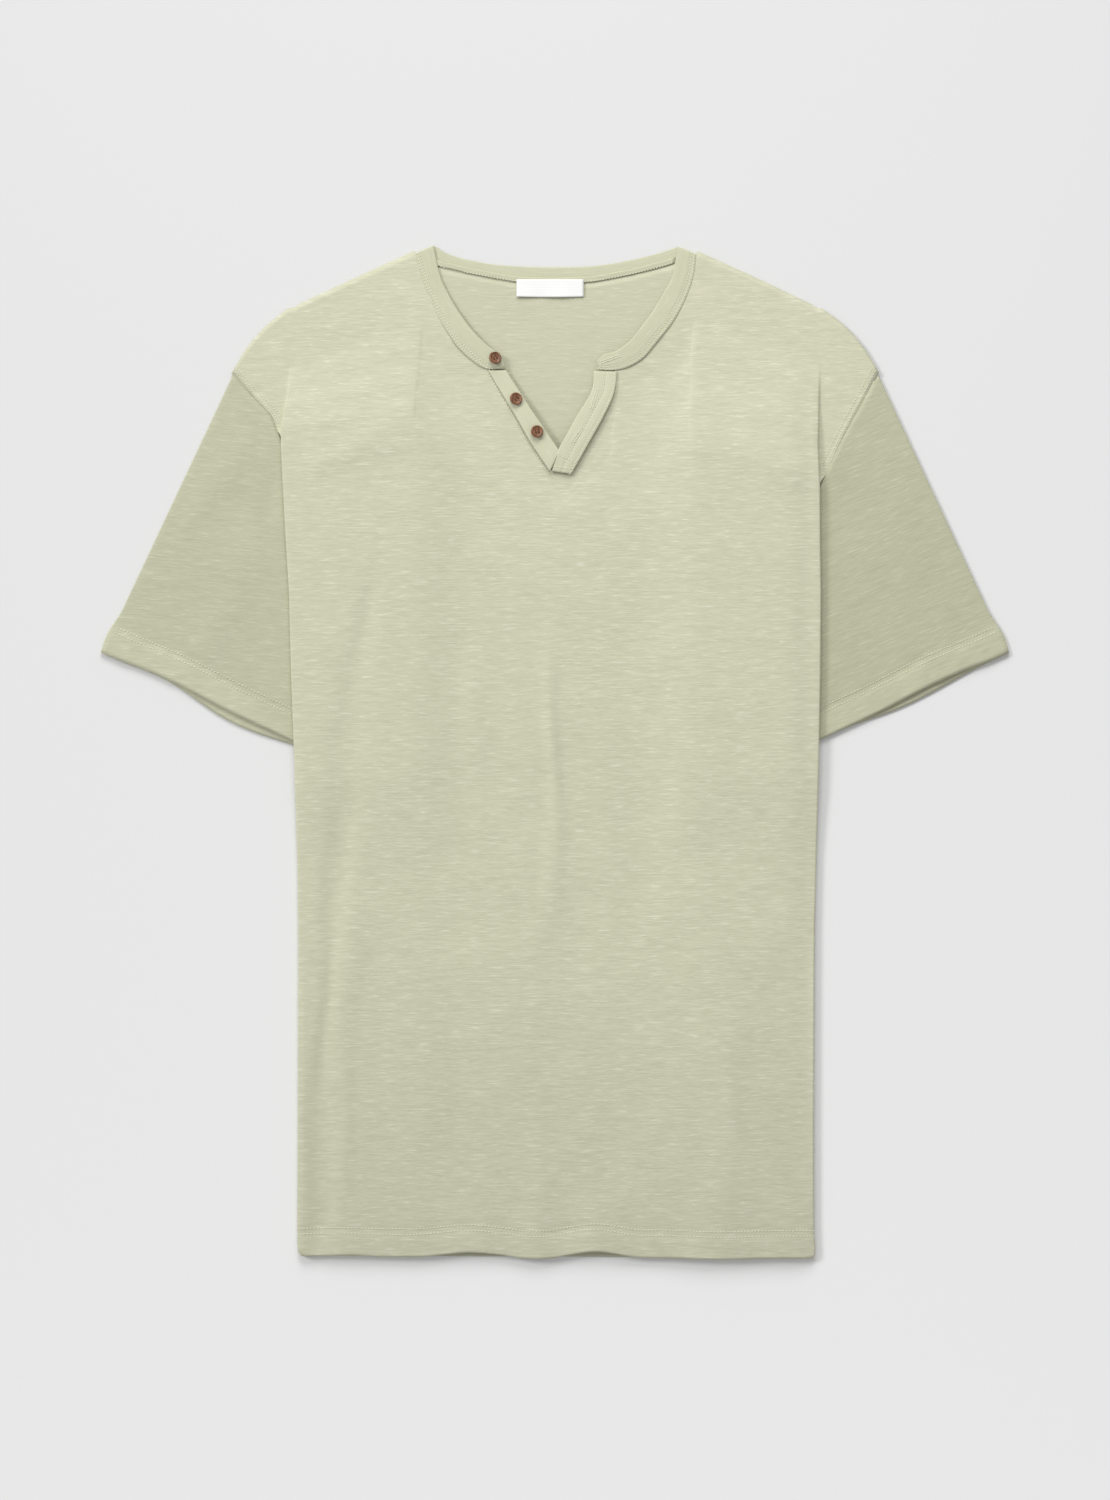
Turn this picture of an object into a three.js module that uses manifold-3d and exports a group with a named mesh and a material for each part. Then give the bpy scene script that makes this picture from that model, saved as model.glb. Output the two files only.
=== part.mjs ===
// Henley shirt with short sleeves, laid flat on its back, with both sides of the body turned under.
// Millimetres. +X points to the wearer's left sleeve, +Y to the neck, +Z up off the table.
import * as THREE from 'three';
import { mergeVertices } from 'three/addons/utils/BufferGeometryUtils.js';
import Module from 'manifold-3d';

// Cloth, and how its layers lie on each other
const CLOTH = 1.0; // wall of one layer of slub jersey
const DOUBLED = 1.2; // wall of a folded strip: neckband and plackets
const GAP = 0.3; // clearance at seams and between layers
const SEAM_GAP = 0.45; // set between the points of two curved edges, so that their chords keep clear
const LAYER = CLOTH + GAP;
const BACK_LEVEL = CLOTH / 2; // middle of the layer that lies on the table
const FRONT_LEVEL = BACK_LEVEL + LAYER;

// Side folds
const BEND = 1.6; // length of cloth in a quarter turn
const STRAIGHT = 0.4; // least length between two bends
const BEND_STEPS = 2;
const STRIP_STEPS = 3;
const RAMP_INNER = 60; // the panels rise onto the turned-under sides between these distances
const RAMP_OUTER = 106;

// Sections across the body, hem to shoulder. Each side has the height of the section, the distance
// of the side fold from the middle, and the end of the cloth beyond the fold: the armhole seam
// where x and y are given. tuck: cloth turned under; layers: what the side lies on;
// state: tucked under the body, turning in, turning out, or open onto the sleeve.
const SECTIONS = [
  { place: 'hem edge', right: [-368.0, 187.0], left: [-368.5, 189.8], tuck: 77, layers: 1, state: 'tucked' },
  { place: 'hem middle', right: [-361.0, 187.4], left: [-362.0, 189.2], tuck: 77, layers: 1, state: 'tucked' },
  { place: 'hem stitch', right: [-350.5, 187.6], left: [-352.0, 188.5], tuck: 77, layers: 1, state: 'tucked' },
  { place: 'seat', right: [-280.0, 187.2], left: [-280.0, 188.3], tuck: 77, layers: 1, state: 'tucked' },
  { place: 'hip', right: [-190.0, 187.0], left: [-190.0, 188.6], tuck: 77, layers: 1, state: 'tucked' },
  { place: 'waist', right: [-110.0, 186.9], left: [-110.0, 189.0], tuck: 77, layers: 1, state: 'tucked' },
  { place: 'below cuff', right: [-42.0, 188.2], left: [-42.0, 191.0], tuck: 77, layers: 1, state: 'tucked' },
  { place: 'cuff', right: [-10.0, 189.4], left: [-10.0, 191.8], tuck: 77, layers: 3, state: 'tucked' },
  { place: 'ribs', right: [55.0, 191.9], left: [55.0, 193.0], tuck: 77, layers: 3, state: 'tucked' },
  { place: 'underarm', right: [114.0, 193.4], left: [114.0, 193.4], tuck: 77, layers: 3, state: 'tucked' },
  { place: 'chest', right: [165.0, 196.5], left: [150.0, 192.9], tuck: 42, layers: 3, state: 'tucked' },
  { place: 'tuck ends', right: [219.0, 199.2], left: [184.7, 192.7], tuck: 4, layers: 3, state: 'tucked' },
  { place: 'under seam', right: [224.0, 199.3], left: [189.7, 192.7], tuck: 0, layers: 3, state: 'turning in' },
  { place: 'over seam', right: [230.0, 199.2], left: [195.7, 192.5], tuck: 0, layers: 3, state: 'turning out' },
  { place: 'seam shows', right: [235.0, 199.0, 202.4, 233.5], left: [201.0, 192.2, 197.0, 201.0],
    tuck: 0, layers: 3, state: 'open' },
  { place: 'lower armhole', right: [247.0, 197.5, 206.4, 243.8], left: [224.0, 191.4, 206.0, 220.7],
    tuck: 0, layers: 2.1, state: 'open' },
  { place: 'upper armhole', right: [262.0, 194.5, 213.6, 251.4], left: [255.0, 192.4, 215.4, 238.6],
    tuck: 0, layers: 0.9, state: 'open' },
  { place: 'fold ends', right: [283.0, 192.6, 222.4, 260.6], left: [285.0, 193.4, 226.0, 257.8],
    tuck: 0, layers: 0, state: 'open' },
  { place: 'shoulder', right: [322.3, 192.7, 234.6, 274.6], left: [322.3, 192.7, 235.0, 275.2],
    tuck: 0, layers: 0, state: 'open' },
];
const LAST_LEVEL_SECTION = 10; // sections run straight across up to here, then fan to the neckline
const TURN_STRIP = 0.8; // end of the cloth while it turns
const BACK_EDGE = 2.0; // the back panel's edge lies this far inside the front panel's fold
const HEM_EXTRA = 0.4; // the hem's second layer, on the outside
const HEM_SECTIONS = 3;

// Neckband: outer edge, sewn to the panels, and inner edge, from the button end round the back
// neck to the buttonhole end. level 1 is on the front panel, 0 on the back panel.
const NECKBAND_SECTIONS = [
  { outer: [-48.9, 277.6], inner: [-35.8, 277.8], level: 1 },
  { outer: [-52.5, 278.8], inner: [-38.9, 285.6], level: 1 },
  { outer: [-60.0, 283.7], inner: [-49.2, 294.8], level: 1 },
  { outer: [-70.4, 293.2], inner: [-59.3, 304.9], level: 1 },
  { outer: [-80.6, 308.2], inner: [-68.4, 316.8], level: 1 },
  { outer: [-90.6, 327.0], inner: [-77.2, 331.2], level: 1 },
  { outer: [-98.6, 348.2], inner: [-84.7, 349.0], level: 1 },
  { outer: [-101.6, 361.6], inner: [-88.6, 367.2], level: 1 },
  { outer: [-97.5, 359.4], inner: [-87.2, 367.6], level: 0 },
  { outer: [-85.4, 352.3], inner: [-79.6, 362.6], level: 0 },
  { outer: [-58.6, 346.1], inner: [-53.6, 355.6], level: 0 },
  { outer: [-28.5, 340.7], inner: [-26.4, 352.9], level: 0 },
  { outer: [-2.0, 339.6], inner: [-2.0, 352.2], level: 0 },
  { outer: [27.5, 340.7], inner: [25.6, 352.9], level: 0 },
  { outer: [56.0, 346.1], inner: [53.4, 357.0], level: 0 },
  { outer: [84.7, 353.7], inner: [79.4, 363.6], level: 0 },
  { outer: [98.0, 359.4], inner: [88.0, 366.6], level: 0 },
  { outer: [103.0, 361.0], inner: [89.4, 366.4], level: 1 },
  { outer: [101.5, 348.2], inner: [86.6, 349.0], level: 1 },
  { outer: [95.6, 330.0], inner: [80.6, 335.8], level: 1 },
  { outer: [86.1, 312.4], inner: [71.6, 320.4], level: 1 },
  { outer: [74.5, 297.8], inner: [63.0, 308.6], level: 1 },
  { outer: [62.8, 284.6], inner: [54.4, 298.0], level: 1 },
  { outer: [51.8, 278.6], inner: [44.6, 290.8], level: 1 },
  { outer: [40.0, 276.6], inner: [35.4, 288.0], level: 1 },
  { outer: [31.6, 277.4], inner: [30.8, 283.6], level: 1 },
];
const NECK_SHOULDERS = [7, 17]; // the front sections where the band turns over the shoulder
const BAND_RADIUS = 0.75;

// Plackets beside the neck slit: outer edge sewn to the front, inner edge free
const BUTTON_PLACKET = [
  { outer: [-48.6, 276.6], inner: [-35.6, 276.6] },
  { outer: [-39.4, 261.0], inner: [-26.6, 262.4] },
  { outer: [-29.9, 245.3], inner: [-17.5, 248.2] },
  { outer: [-17.5, 223.6], inner: [-6.0, 230.8] },
  { outer: [-3.6, 202.8], inner: [1.6, 218.8] },
];
const BUTTONHOLE_PLACKET = [
  { outer: [45.2, 275.8], inner: [28.4, 276.0] },
  { outer: [43.1, 260.6], inner: [26.8, 262.0] },
  { outer: [35.8, 243.8], inner: [15.8, 243.0] },
  { outer: [27.0, 227.8], inner: [7.4, 227.6] },
  { outer: [19.0, 213.6], inner: [2.4, 218.2] },
  { outer: [11.7, 200.8], inner: [-2.4, 203.0] },
];

// Sleeves: hidden armhole from the side fold to the underarm, and the far corners of the cuff
const HIDDEN_ARMHOLE = { right: [[199.0, 226.0], [165.0, 165.0], [116.5, 113.9]],
  left: [[191.8, 190.6], [160.0, 145.0], [116.5, 113.9]] };
const CUFF_OUTER = [330, 71];
const CUFF_INNER = [163, -6.5];
const SLEEVE_ROWS = [0, 0.16, 0.34, 0.52, 0.7, 0.84, 0.905, 0.96, 1];
const CUFF_ROW = 6; // the turned cuff hem starts at this row
const CUFF_BULGE = 2.2; // the outer edge swells beside the cuff
const CUFF_LAG = 3.6; // the back layer reaches this far below the front one
const CUFF_LIFT = 1.6; // and the front layer stands this far off it
const CUFF_OPEN = 0.34; // middle of that opening, as a share of the cuff's width from its outer corner

// Soft waves of the front hem: middle, half width, how far the edge draws up, how far it stands off
const HEM_WAVES = [
  { middle: -61, half: 36, draw: 3.4, lift: 3.4 },
  { middle: 30, half: 34, draw: 4.4, lift: 4.0 },
];
const WAVE_FADE = 90; // the waves die out this far above the hem

// Long soft swells of the front: from, to, half width, height
const SWELLS = [
  { from: [0, 40], to: [-2, -180], half: 26, height: 1.6 },
  { from: [-100, 90], to: [-118, -330], half: 30, height: 1.2 },
  { from: [120, -120], to: [128, -340], half: 34, height: 1.4 },
];

// Buttons, neck tape and label
const BUTTONS = [
  { x: -43.8, y: 285.6, turn: 24, level: FRONT_LEVEL + 0.15 },
  { x: -28.4, y: 255.4, turn: 52, level: FRONT_LEVEL },
  { x: -13.2, y: 231.4, turn: 12, level: FRONT_LEVEL },
];
const BUTTON_PROFILE = [[0, 0], [3.5, 0], [4.5, 0.7], [4.6, 1.3], [4.1, 2.0], [3.5, 2.0], [3.0, 1.5], [0, 1.5]];
const BUTTON_SIDES = 18;
const HOLE_RADIUS = 0.7;
const HOLE_OFFSET = 1.25;
const TAPE = { from: -84, to: 84, width: 4.0, wall: 1.0 };
const LABEL = { middle: -3.6, width: 49, top: 341.4, drop: 11.6, wall: 1.0, curl: 1.6 };

const mix = (a, b, t) => a + (b - a) * t;

function smooth(from, to, value) {
  const t = Math.min(1, Math.max(0, (value - from) / (to - from)));
  return t * t * (3 - 2 * t);
}

// A quarter wave that is 1 at its middle and 0 past its half width
function swell(distance, half) {
  const t = Math.min(1, Math.abs(distance) / half);
  return (1 + Math.cos(Math.PI * t)) / 2;
}

function material(color, roughness) {
  return new THREE.MeshStandardMaterial({ color, roughness, metalness: 0 });
}

const BODY_CLOTH = material('#cdcdb4', 0.9);
const TRIM_CLOTH = material('#cbcbb2', 0.9);
const LABEL_CLOTH = material('#f0efeb', 0.7);
const BUTTON_SHELL = material('#7c4f36', 0.5);

// Normal of a grid of points at column i, row j, from its neighbours
function gridNormal(grid, i, j, closed) {
  const columns = grid[0].length;
  const before = closed ? (i + columns - 1) % columns : Math.max(0, i - 1);
  const after = closed ? (i + 1) % columns : Math.min(columns - 1, i + 1);
  const across = grid[j][after].clone().sub(grid[j][before]);
  const along = grid[Math.min(grid.length - 1, j + 1)][i].clone().sub(grid[Math.max(0, j - 1)][i]);
  return across.cross(along).normalize();
}

// A wall of cloth about a grid of middle points; rows run along it, columns across it.
// outer(i, j) may thicken the outside.
function clothWall(grid, wall, { closed = false, outer = () => 0 } = {}) {
  const rows = grid.length;
  const columns = grid[0].length;
  const positions = [];
  const side = [wall / 2, -wall / 2];
  for (const offset of side) {
    for (let j = 0; j < rows; j += 1) {
      for (let i = 0; i < columns; i += 1) {
        const extra = offset > 0 ? outer(i, j) : 0;
        const point = grid[j][i].clone().addScaledVector(gridNormal(grid, i, j, closed), offset + extra);
        positions.push(point.x, point.y, point.z);
      }
    }
  }
  const out = (i, j) => j * columns + (i % columns);
  const inn = (i, j) => rows * columns + out(i, j);
  const faces = [];
  const quad = (a, b, c, d) => faces.push(a, b, c, a, c, d);
  const spans = closed ? columns : columns - 1;
  for (let j = 0; j < rows - 1; j += 1) {
    for (let i = 0; i < spans; i += 1) {
      quad(out(i, j), out(i + 1, j), out(i + 1, j + 1), out(i, j + 1));
      quad(inn(i, j), inn(i, j + 1), inn(i + 1, j + 1), inn(i + 1, j));
    }
    if (!closed) {
      quad(out(0, j), out(0, j + 1), inn(0, j + 1), inn(0, j));
      quad(inn(columns - 1, j), inn(columns - 1, j + 1), out(columns - 1, j + 1), out(columns - 1, j));
    }
  }
  for (let i = 0; i < spans; i += 1) {
    quad(inn(i, 0), inn(i + 1, 0), out(i + 1, 0), out(i, 0));
    quad(out(i, rows - 1), out(i + 1, rows - 1), inn(i + 1, rows - 1), inn(i, rows - 1));
  }
  const geometry = new THREE.BufferGeometry();
  geometry.setAttribute('position', new THREE.Float32BufferAttribute(positions, 3));
  geometry.setIndex(faces);
  geometry.computeVertexNormals();
  return geometry;
}

function piece(name, geometry, finish) {
  const mesh = new THREE.Mesh(geometry, finish);
  mesh.name = name;
  return mesh;
}

// Cloth that turns from one heading to another over a length, as a step in x and z
function bendStep(from, to, length) {
  const turn = to - from;
  if (Math.abs(turn) < 1e-6) {
    return [length * Math.cos(from), length * Math.sin(from)];
  }
  return [length * (Math.sin(to) - Math.sin(from)) / turn, length * (Math.cos(from) - Math.cos(to)) / turn];
}

// The height lost in two bends and the straight between them, for a downward heading
function bendDrop(down, finish, straight) {
  return -(bendStep(0, -down, BEND)[1] + bendStep(-down, finish, BEND)[1]) + straight * Math.sin(down);
}

// The cloth's path over a side fold, in x and z, from the top of the body to the end of the turn.
// finish is the heading after the fold: 0 outward, -PI inward under the body.
function foldPath(fold, top, drop, finish) {
  let down = Math.PI / 2;
  let straight = drop - bendDrop(down, finish, 0);
  if (finish === 0 && straight < STRAIGHT) {
    straight = STRAIGHT;
    let low = 0;
    for (let step = 0; step < 40; step += 1) {
      const middle = (low + down) / 2;
      if (bendDrop(middle, 0, STRAIGHT) < drop) low = middle;
      else down = middle;
    }
  }
  const path = [[0, 0]];
  const advance = ([dx, dz]) => {
    const [x, z] = path[path.length - 1];
    path.push([x + dx, z + dz]);
  };
  for (let step = 0; step < BEND_STEPS; step += 1) {
    advance(bendStep(-down * step / BEND_STEPS, -down * (step + 1) / BEND_STEPS, BEND / BEND_STEPS));
  }
  advance([straight * Math.cos(down), -straight * Math.sin(down)]);
  for (let step = 0; step < BEND_STEPS; step += 1) {
    const from = mix(-down, finish, step / BEND_STEPS);
    const to = mix(-down, finish, (step + 1) / BEND_STEPS);
    advance(bendStep(from, to, BEND / BEND_STEPS));
  }
  const wall = (path[BEND_STEPS][0] + path[BEND_STEPS + 1][0]) / 2;
  return path.map(([x, z]) => [x - wall + fold, z + top]);
}

const FINISH = { tucked: -Math.PI, 'turning in': -Math.PI * 0.75, 'turning out': -Math.PI * 0.25, open: 0 };

// Points of one side of a panel section, from the top of the fold to the end of the cloth,
// for a side whose x is positive
function sideSection(section, side, layer) {
  const [y, fold, seamX, seamY] = section[side];
  const lift = section.layers * LAYER;
  const front = layer === 'front';
  const top = (front ? FRONT_LEVEL : BACK_LEVEL) + lift;
  let path;
  let end;
  if (section.state === 'open') {
    path = foldPath(front ? fold : fold - LAYER, top, lift, 0);
    const short = !front && section.place === 'seam shows';
    end = short ? [path.at(-1)[0] + GAP, y] : [seamX, seamY];
  } else if (front) {
    const sink = section.state === 'tucked' ? 0 : TURN_STRIP * Math.sin(Math.PI / 4);
    path = foldPath(fold, top, 2 * LAYER - sink, FINISH[section.state]);
    end = [section.state === 'tucked' ? fold - section.tuck : null, y];
  } else {
    const flat = 2 * BEND + STRAIGHT;
    path = foldPath(fold - BACK_EDGE - GAP - flat / 2, top, 0, 0);
    end = [fold - BACK_EDGE, y];
  }
  const points = path.map(([x, z]) => new THREE.Vector3(x, y, z));
  const [x, z] = path.at(-1);
  for (let step = 1; step <= STRIP_STEPS; step += 1) {
    const t = step / STRIP_STEPS;
    if (end[0] === null) {
      const heading = FINISH[section.state];
      const along = TURN_STRIP * t;
      points.push(new THREE.Vector3(x + along * Math.cos(heading), y, z + along * Math.sin(heading)));
    } else {
      points.push(new THREE.Vector3(mix(x, end[0], t), mix(y, end[1], t), z));
    }
  }
  return points;
}

// The edge of a strip as the panel beside it meets it, a seam's gap away
function seamPoint({ outer, inner }) {
  const away = new THREE.Vector2(outer[0] - inner[0], outer[1] - inner[1]).setLength(SEAM_GAP);
  return [outer[0] + away.x, outer[1] + away.y - SEAM_GAP / 2];
}

function pointsBetween(from, to, count) {
  return Array.from({ length: count }, (_, k) => [mix(from[0], to[0], k / count), mix(from[1], to[1], k / count)]);
}

// Upper edge of the front: shoulder, neck seam, placket seams, neck seam, shoulder
const SHOULDER_STEPS = 4;
const foldStart = { right: sideSection(SECTIONS.at(-1), 'right', 'front')[0],
  left: sideSection(SECTIONS.at(-1), 'left', 'front')[0] };
const bandRight = NECKBAND_SECTIONS.slice(0, 8).reverse().map(seamPoint);
const bandLeft = NECKBAND_SECTIONS.slice(17, 24).reverse().map(seamPoint);
const neckRight = [-103.2, 363.9];
const neckLeft = [104.6, 363.6];
const FRONT_EDGE = [
  ...pointsBetween([-foldStart.right.x, foldStart.right.y], neckRight, SHOULDER_STEPS),
  neckRight,
  ...bandRight,
  ...BUTTON_PLACKET.slice(1).map(seamPoint),
  ...BUTTONHOLE_PLACKET.map(seamPoint).reverse(),
  ...bandLeft,
  neckLeft,
  ...pointsBetween([foldStart.left.x, foldStart.left.y], neckLeft, SHOULDER_STEPS).reverse(),
];
const BACK_NECK = NECKBAND_SECTIONS.filter(({ level }) => level === 0).map(seamPoint);
const BACK_NECK_SEAM = 1.0; // more clearance below the back neck, whose points the panel's don't match
const BACK_CORNER = 360.0; // height of the back neckline where it meets the shoulder

function heightOn(line, x) {
  const last = line.length - 1;
  if (x <= line[0][0]) return line[0][1];
  if (x >= line[last][0]) return line[last][1];
  const k = line.findIndex(([px]) => px > x) - 1;
  return mix(line[k][1], line[k + 1][1], (x - line[k][0]) / (line[k + 1][0] - line[k][0]));
}

const BACK_LINE = [[neckRight[0], BACK_CORNER], ...BACK_NECK, [neckLeft[0], BACK_CORNER]];

// The middle of a panel, between its two side folds, section by section
function panelGrid(layer) {
  const front = layer === 'front';
  const edge = FRONT_EDGE.map(([x, y]) => {
    const inNeck = x > neckRight[0] && x < neckLeft[0];
    return [x, front || !inNeck ? y : heightOn(BACK_LINE, x) - BACK_NECK_SEAM];
  });
  const first = edge[0][0];
  const span = edge.at(-1)[0] - first;
  const shoulder = SECTIONS.at(-1).right[0];
  return SECTIONS.map((section, row) => {
    const right = sideSection(section, 'right', layer).map(({ x, y, z }) => new THREE.Vector3(-x, y, z));
    const left = sideSection(section, 'left', layer);
    const level = SECTIONS[LAST_LEVEL_SECTION];
    const middle = edge.slice(1, -1).map(([edgeX, edgeY], k) => {
      const t = (edgeX - first) / span;
      const x = mix(right[0].x, left[0].x, t);
      let y = mix(section.right[0], section.left[0], t);
      if (row > LAST_LEVEL_SECTION) {
        const base = mix(level.right[0], level.left[0], t);
        const topRow = row === SECTIONS.length - 1;
        const reach = topRow ? edgeY : FRONT_EDGE[k + 1][1];
        y = base + (y - base) * (reach - base) / (shoulder - base);
      }
      const lift = section.layers * LAYER * smooth(RAMP_INNER, RAMP_OUTER, Math.abs(x));
      const point = new THREE.Vector3(x, y, (front ? FRONT_LEVEL : BACK_LEVEL) + lift);
      return front ? waved(point) : point;
    });
    return [...right.reverse(), ...middle, ...left];
  });
}

// The front hem's waves and the front's long swells
function waved(point) {
  const { x, y } = point;
  const above = y - SECTIONS[0].right[0];
  const fade = 1 - smooth(0, WAVE_FADE, above);
  for (const { middle, half, draw, lift } of HEM_WAVES) {
    const wave = swell(x - middle, half) * fade;
    point.y += draw * wave;
    point.z += lift * wave;
  }
  for (const { from, to, half, height } of SWELLS) {
    const t = Math.min(1, Math.max(0, (from[1] - y) / (from[1] - to[1])));
    const centre = mix(from[0], to[0], t);
    const ends = smooth(-60, 20, from[1] - y) * smooth(-60, 20, y - to[1]);
    point.z += height * swell(x - centre, half) * ends;
  }
  return point;
}

function panel(name, layer) {
  const grid = panelGrid(layer);
  const sideSteps = 2 * BEND_STEPS + 1 + STRIP_STEPS;
  const last = grid[0].length - 1;
  const hem = (i, j) => (j < HEM_SECTIONS && i > sideSteps && i < last - sideSteps ? HEM_EXTRA : 0);
  const outer = layer === 'front' ? hem : () => 0;
  return piece(name, clothWall(grid, CLOTH, { outer }), BODY_CLOTH);
}

// A sleeve is a tube pressed flat: front layer, turn at the underarm, back layer, turn at the top
function sleeve(name, side, sign) {
  const seam = SECTIONS.filter(({ state }) => state === 'open').reverse().map((section) => section[side].slice(2));
  const armhole = [...seam, ...HIDDEN_ARMHOLE[side]];
  const lengths = armhole.map((point, k) => (k ? Math.hypot(point[0] - armhole[k - 1][0], point[1] - armhole[k - 1][1]) : 0));
  const total = lengths.reduce((a, b) => a + b, 0);
  const last = armhole.length - 1;
  let run = 0;
  const stations = armhole.map((point, k) => {
    run += lengths[k];
    const t = run / total;
    return { start: point, end: [mix(CUFF_OUTER[0], CUFF_INNER[0], t), mix(CUFF_OUTER[1], CUFF_INNER[1], t)], t };
  });
  const radius = LAYER / 2;
  const seamGap = 2 * GAP;
  const grid = SLEEVE_ROWS.map((v) => {
    const layerPoint = (k, back) => {
      const { start, end, t } = stations[k];
      const way = new THREE.Vector2(end[0] - start[0], end[1] - start[1]);
      const unit = way.clone().normalize();
      const open = swell(t - CUFF_OPEN, CUFF_OPEN) * smooth(0.6, 1, v);
      const along = mix(seamGap, way.length(), v) + (back ? CUFF_LAG * open : 0);
      const bulge = CUFF_BULGE * swell(v - 0.86, 0.3) * (1 - smooth(0, 0.25, t));
      const z = back ? BACK_LEVEL : FRONT_LEVEL + CUFF_LIFT * open;
      return new THREE.Vector3(start[0] + unit.x * along + bulge, start[1] + unit.y * along, z);
    };
    const front = stations.map((_, k) => layerPoint(k, false));
    const back = stations.map((_, k) => layerPoint(k, true));
    const inset = radius + CLOTH / 2;
    const towards = (a, b) => b.clone().sub(a).setZ(0).normalize();
    const top = towards(front[1], front[0]);
    const under = towards(front[last - 1], front[last]);
    for (const layer of [front, back]) {
      layer[0].addScaledVector(top, -inset);
      layer[last].addScaledVector(under, -inset);
    }
    const turn = (centre, direction, upward) => [-45, 0, 45].map((degrees) => {
      const angle = THREE.MathUtils.degToRad(upward ? degrees : -degrees);
      const point = centre.clone().addScaledVector(direction, radius * Math.cos(angle));
      point.z = (BACK_LEVEL + FRONT_LEVEL) / 2 + radius * Math.sin(angle);
      return point;
    });
    const ring = [...front, ...turn(front[last], under, false), ...back.reverse(), ...turn(front[0], top, true)];
    const placed = ring.map(({ x, y, z }) => new THREE.Vector3(sign * x, y, z));
    return sign > 0 ? placed.reverse() : placed;
  }).reverse();
  const cuffRows = SLEEVE_ROWS.length - 1 - CUFF_ROW;
  const ringSize = grid[0].length;
  const outer = (i, j) => {
    const k = sign > 0 ? ringSize - 1 - i : i;
    const beyondFold = k > 0 && k < seam.length - 1;
    return j <= cuffRows && beyondFold ? HEM_EXTRA : 0;
  };
  return piece(name, clothWall(grid, CLOTH, { closed: true, outer }), BODY_CLOTH);
}

// A strip of doubled cloth between an outer and an inner edge
const STRIP_COLUMNS = [0, 1 / 3, 2 / 3, 1];

function stripRow({ outer, inner }, z) {
  return STRIP_COLUMNS.map((t) => new THREE.Vector3(mix(outer[0], inner[0], t), mix(outer[1], inner[1], t), z));
}

function neckband() {
  const backZ = DOUBLED / 2;
  const frontZ = backZ + DOUBLED + GAP;
  const rows = [];
  NECKBAND_SECTIONS.forEach((section, k) => {
    const shoulder = NECK_SHOULDERS.includes(k);
    const near = Math.min(Math.abs(k - NECK_SHOULDERS[0]), Math.abs(k - NECK_SHOULDERS[1]));
    const z = section.level ? mix(FRONT_LEVEL + (DOUBLED - CLOTH) / 2, frontZ, Math.max(0, 1 - near / 3)) : backZ;
    const turn = shoulder ? [0, 45, 90, 135, 180] : [null];
    const order = k === NECK_SHOULDERS[1] ? [...turn].reverse() : turn;
    for (const degrees of order) {
      const row = stripRow(section, z);
      if (degrees !== null) {
        const angle = THREE.MathUtils.degToRad(degrees);
        for (const point of row) {
          point.y += BAND_RADIUS * Math.sin(angle);
          point.z = backZ + BAND_RADIUS * (1 + Math.cos(angle));
        }
      }
      rows.push(row);
    }
  });
  return piece('neckband', clothWall(rows.map((row) => row.reverse()), DOUBLED), TRIM_CLOTH);
}

function placket(name, sections, flip) {
  const z = FRONT_LEVEL + (DOUBLED - CLOTH) / 2;
  const rows = sections.map((section) => stripRow(section, z)).reverse();
  const grid = flip ? rows.map((row) => row.reverse()) : rows;
  return piece(name, clothWall(grid, DOUBLED), TRIM_CLOTH);
}

// The tape that covers the back neck seam inside
function neckTape() {
  const rows = [];
  const steps = 10;
  const z = DOUBLED + GAP + TAPE.wall / 2;
  for (let row = 0; row <= 1; row += 1) {
    const line = [];
    for (let step = 0; step <= steps; step += 1) {
      const x = mix(TAPE.from, TAPE.to, step / steps);
      line.push(new THREE.Vector3(x, heightOn(BACK_NECK, x) + 1.4 + TAPE.width * row, z));
    }
    rows.push(line);
  }
  return piece('neck_tape', clothWall(rows, TAPE.wall), TRIM_CLOTH);
}

// The blank woven label below the tape, its lower edge lifting
function label() {
  const rows = [];
  const z = CLOTH + GAP + LABEL.wall / 2;
  for (let row = 4; row >= 0; row -= 1) {
    const t = row / 4;
    const line = [];
    for (let step = 0; step <= 8; step += 1) {
      const x = LABEL.middle + LABEL.width * (step / 8 - 0.5);
      line.push(new THREE.Vector3(x, LABEL.top - 2.4 - LABEL.drop * t, z + LABEL.curl * t * t));
    }
    rows.push(line);
  }
  return piece('neck_label', clothWall(rows, LABEL.wall), LABEL_CLOTH);
}

const wasm = await Module();
wasm.setup();

function toSolid(geometry) {
  const plain = geometry.clone();
  plain.deleteAttribute('normal');
  plain.deleteAttribute('uv');
  const merged = mergeVertices(plain, 1e-4);
  return new wasm.Manifold(new wasm.Mesh({
    numProp: 3,
    vertProperties: new Float32Array(merged.attributes.position.array),
    triVerts: new Uint32Array(merged.index.array),
  }));
}

function toGeometry(solid) {
  const mesh = solid.getMesh();
  const geometry = new THREE.BufferGeometry();
  geometry.setAttribute('position', new THREE.BufferAttribute(mesh.vertProperties, 3));
  geometry.setIndex(new THREE.BufferAttribute(mesh.triVerts, 1));
  geometry.computeVertexNormals();
  return geometry;
}

// A four-hole button with a raised rim
function buttonGeometry() {
  const profile = BUTTON_PROFILE.map(([r, z]) => new THREE.Vector2(r, z));
  const turned = new THREE.LatheGeometry(profile, BUTTON_SIDES).rotateX(Math.PI / 2);
  let solid = toSolid(turned);
  for (const [sx, sy] of [[1, 1], [-1, 1], [-1, -1], [1, -1]]) {
    const hole = new THREE.CylinderGeometry(HOLE_RADIUS, HOLE_RADIUS, 8, 8).rotateX(Math.PI / 2);
    hole.translate(sx * HOLE_OFFSET, sy * HOLE_OFFSET, 1);
    solid = solid.subtract(toSolid(hole));
  }
  return toGeometry(solid);
}

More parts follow.
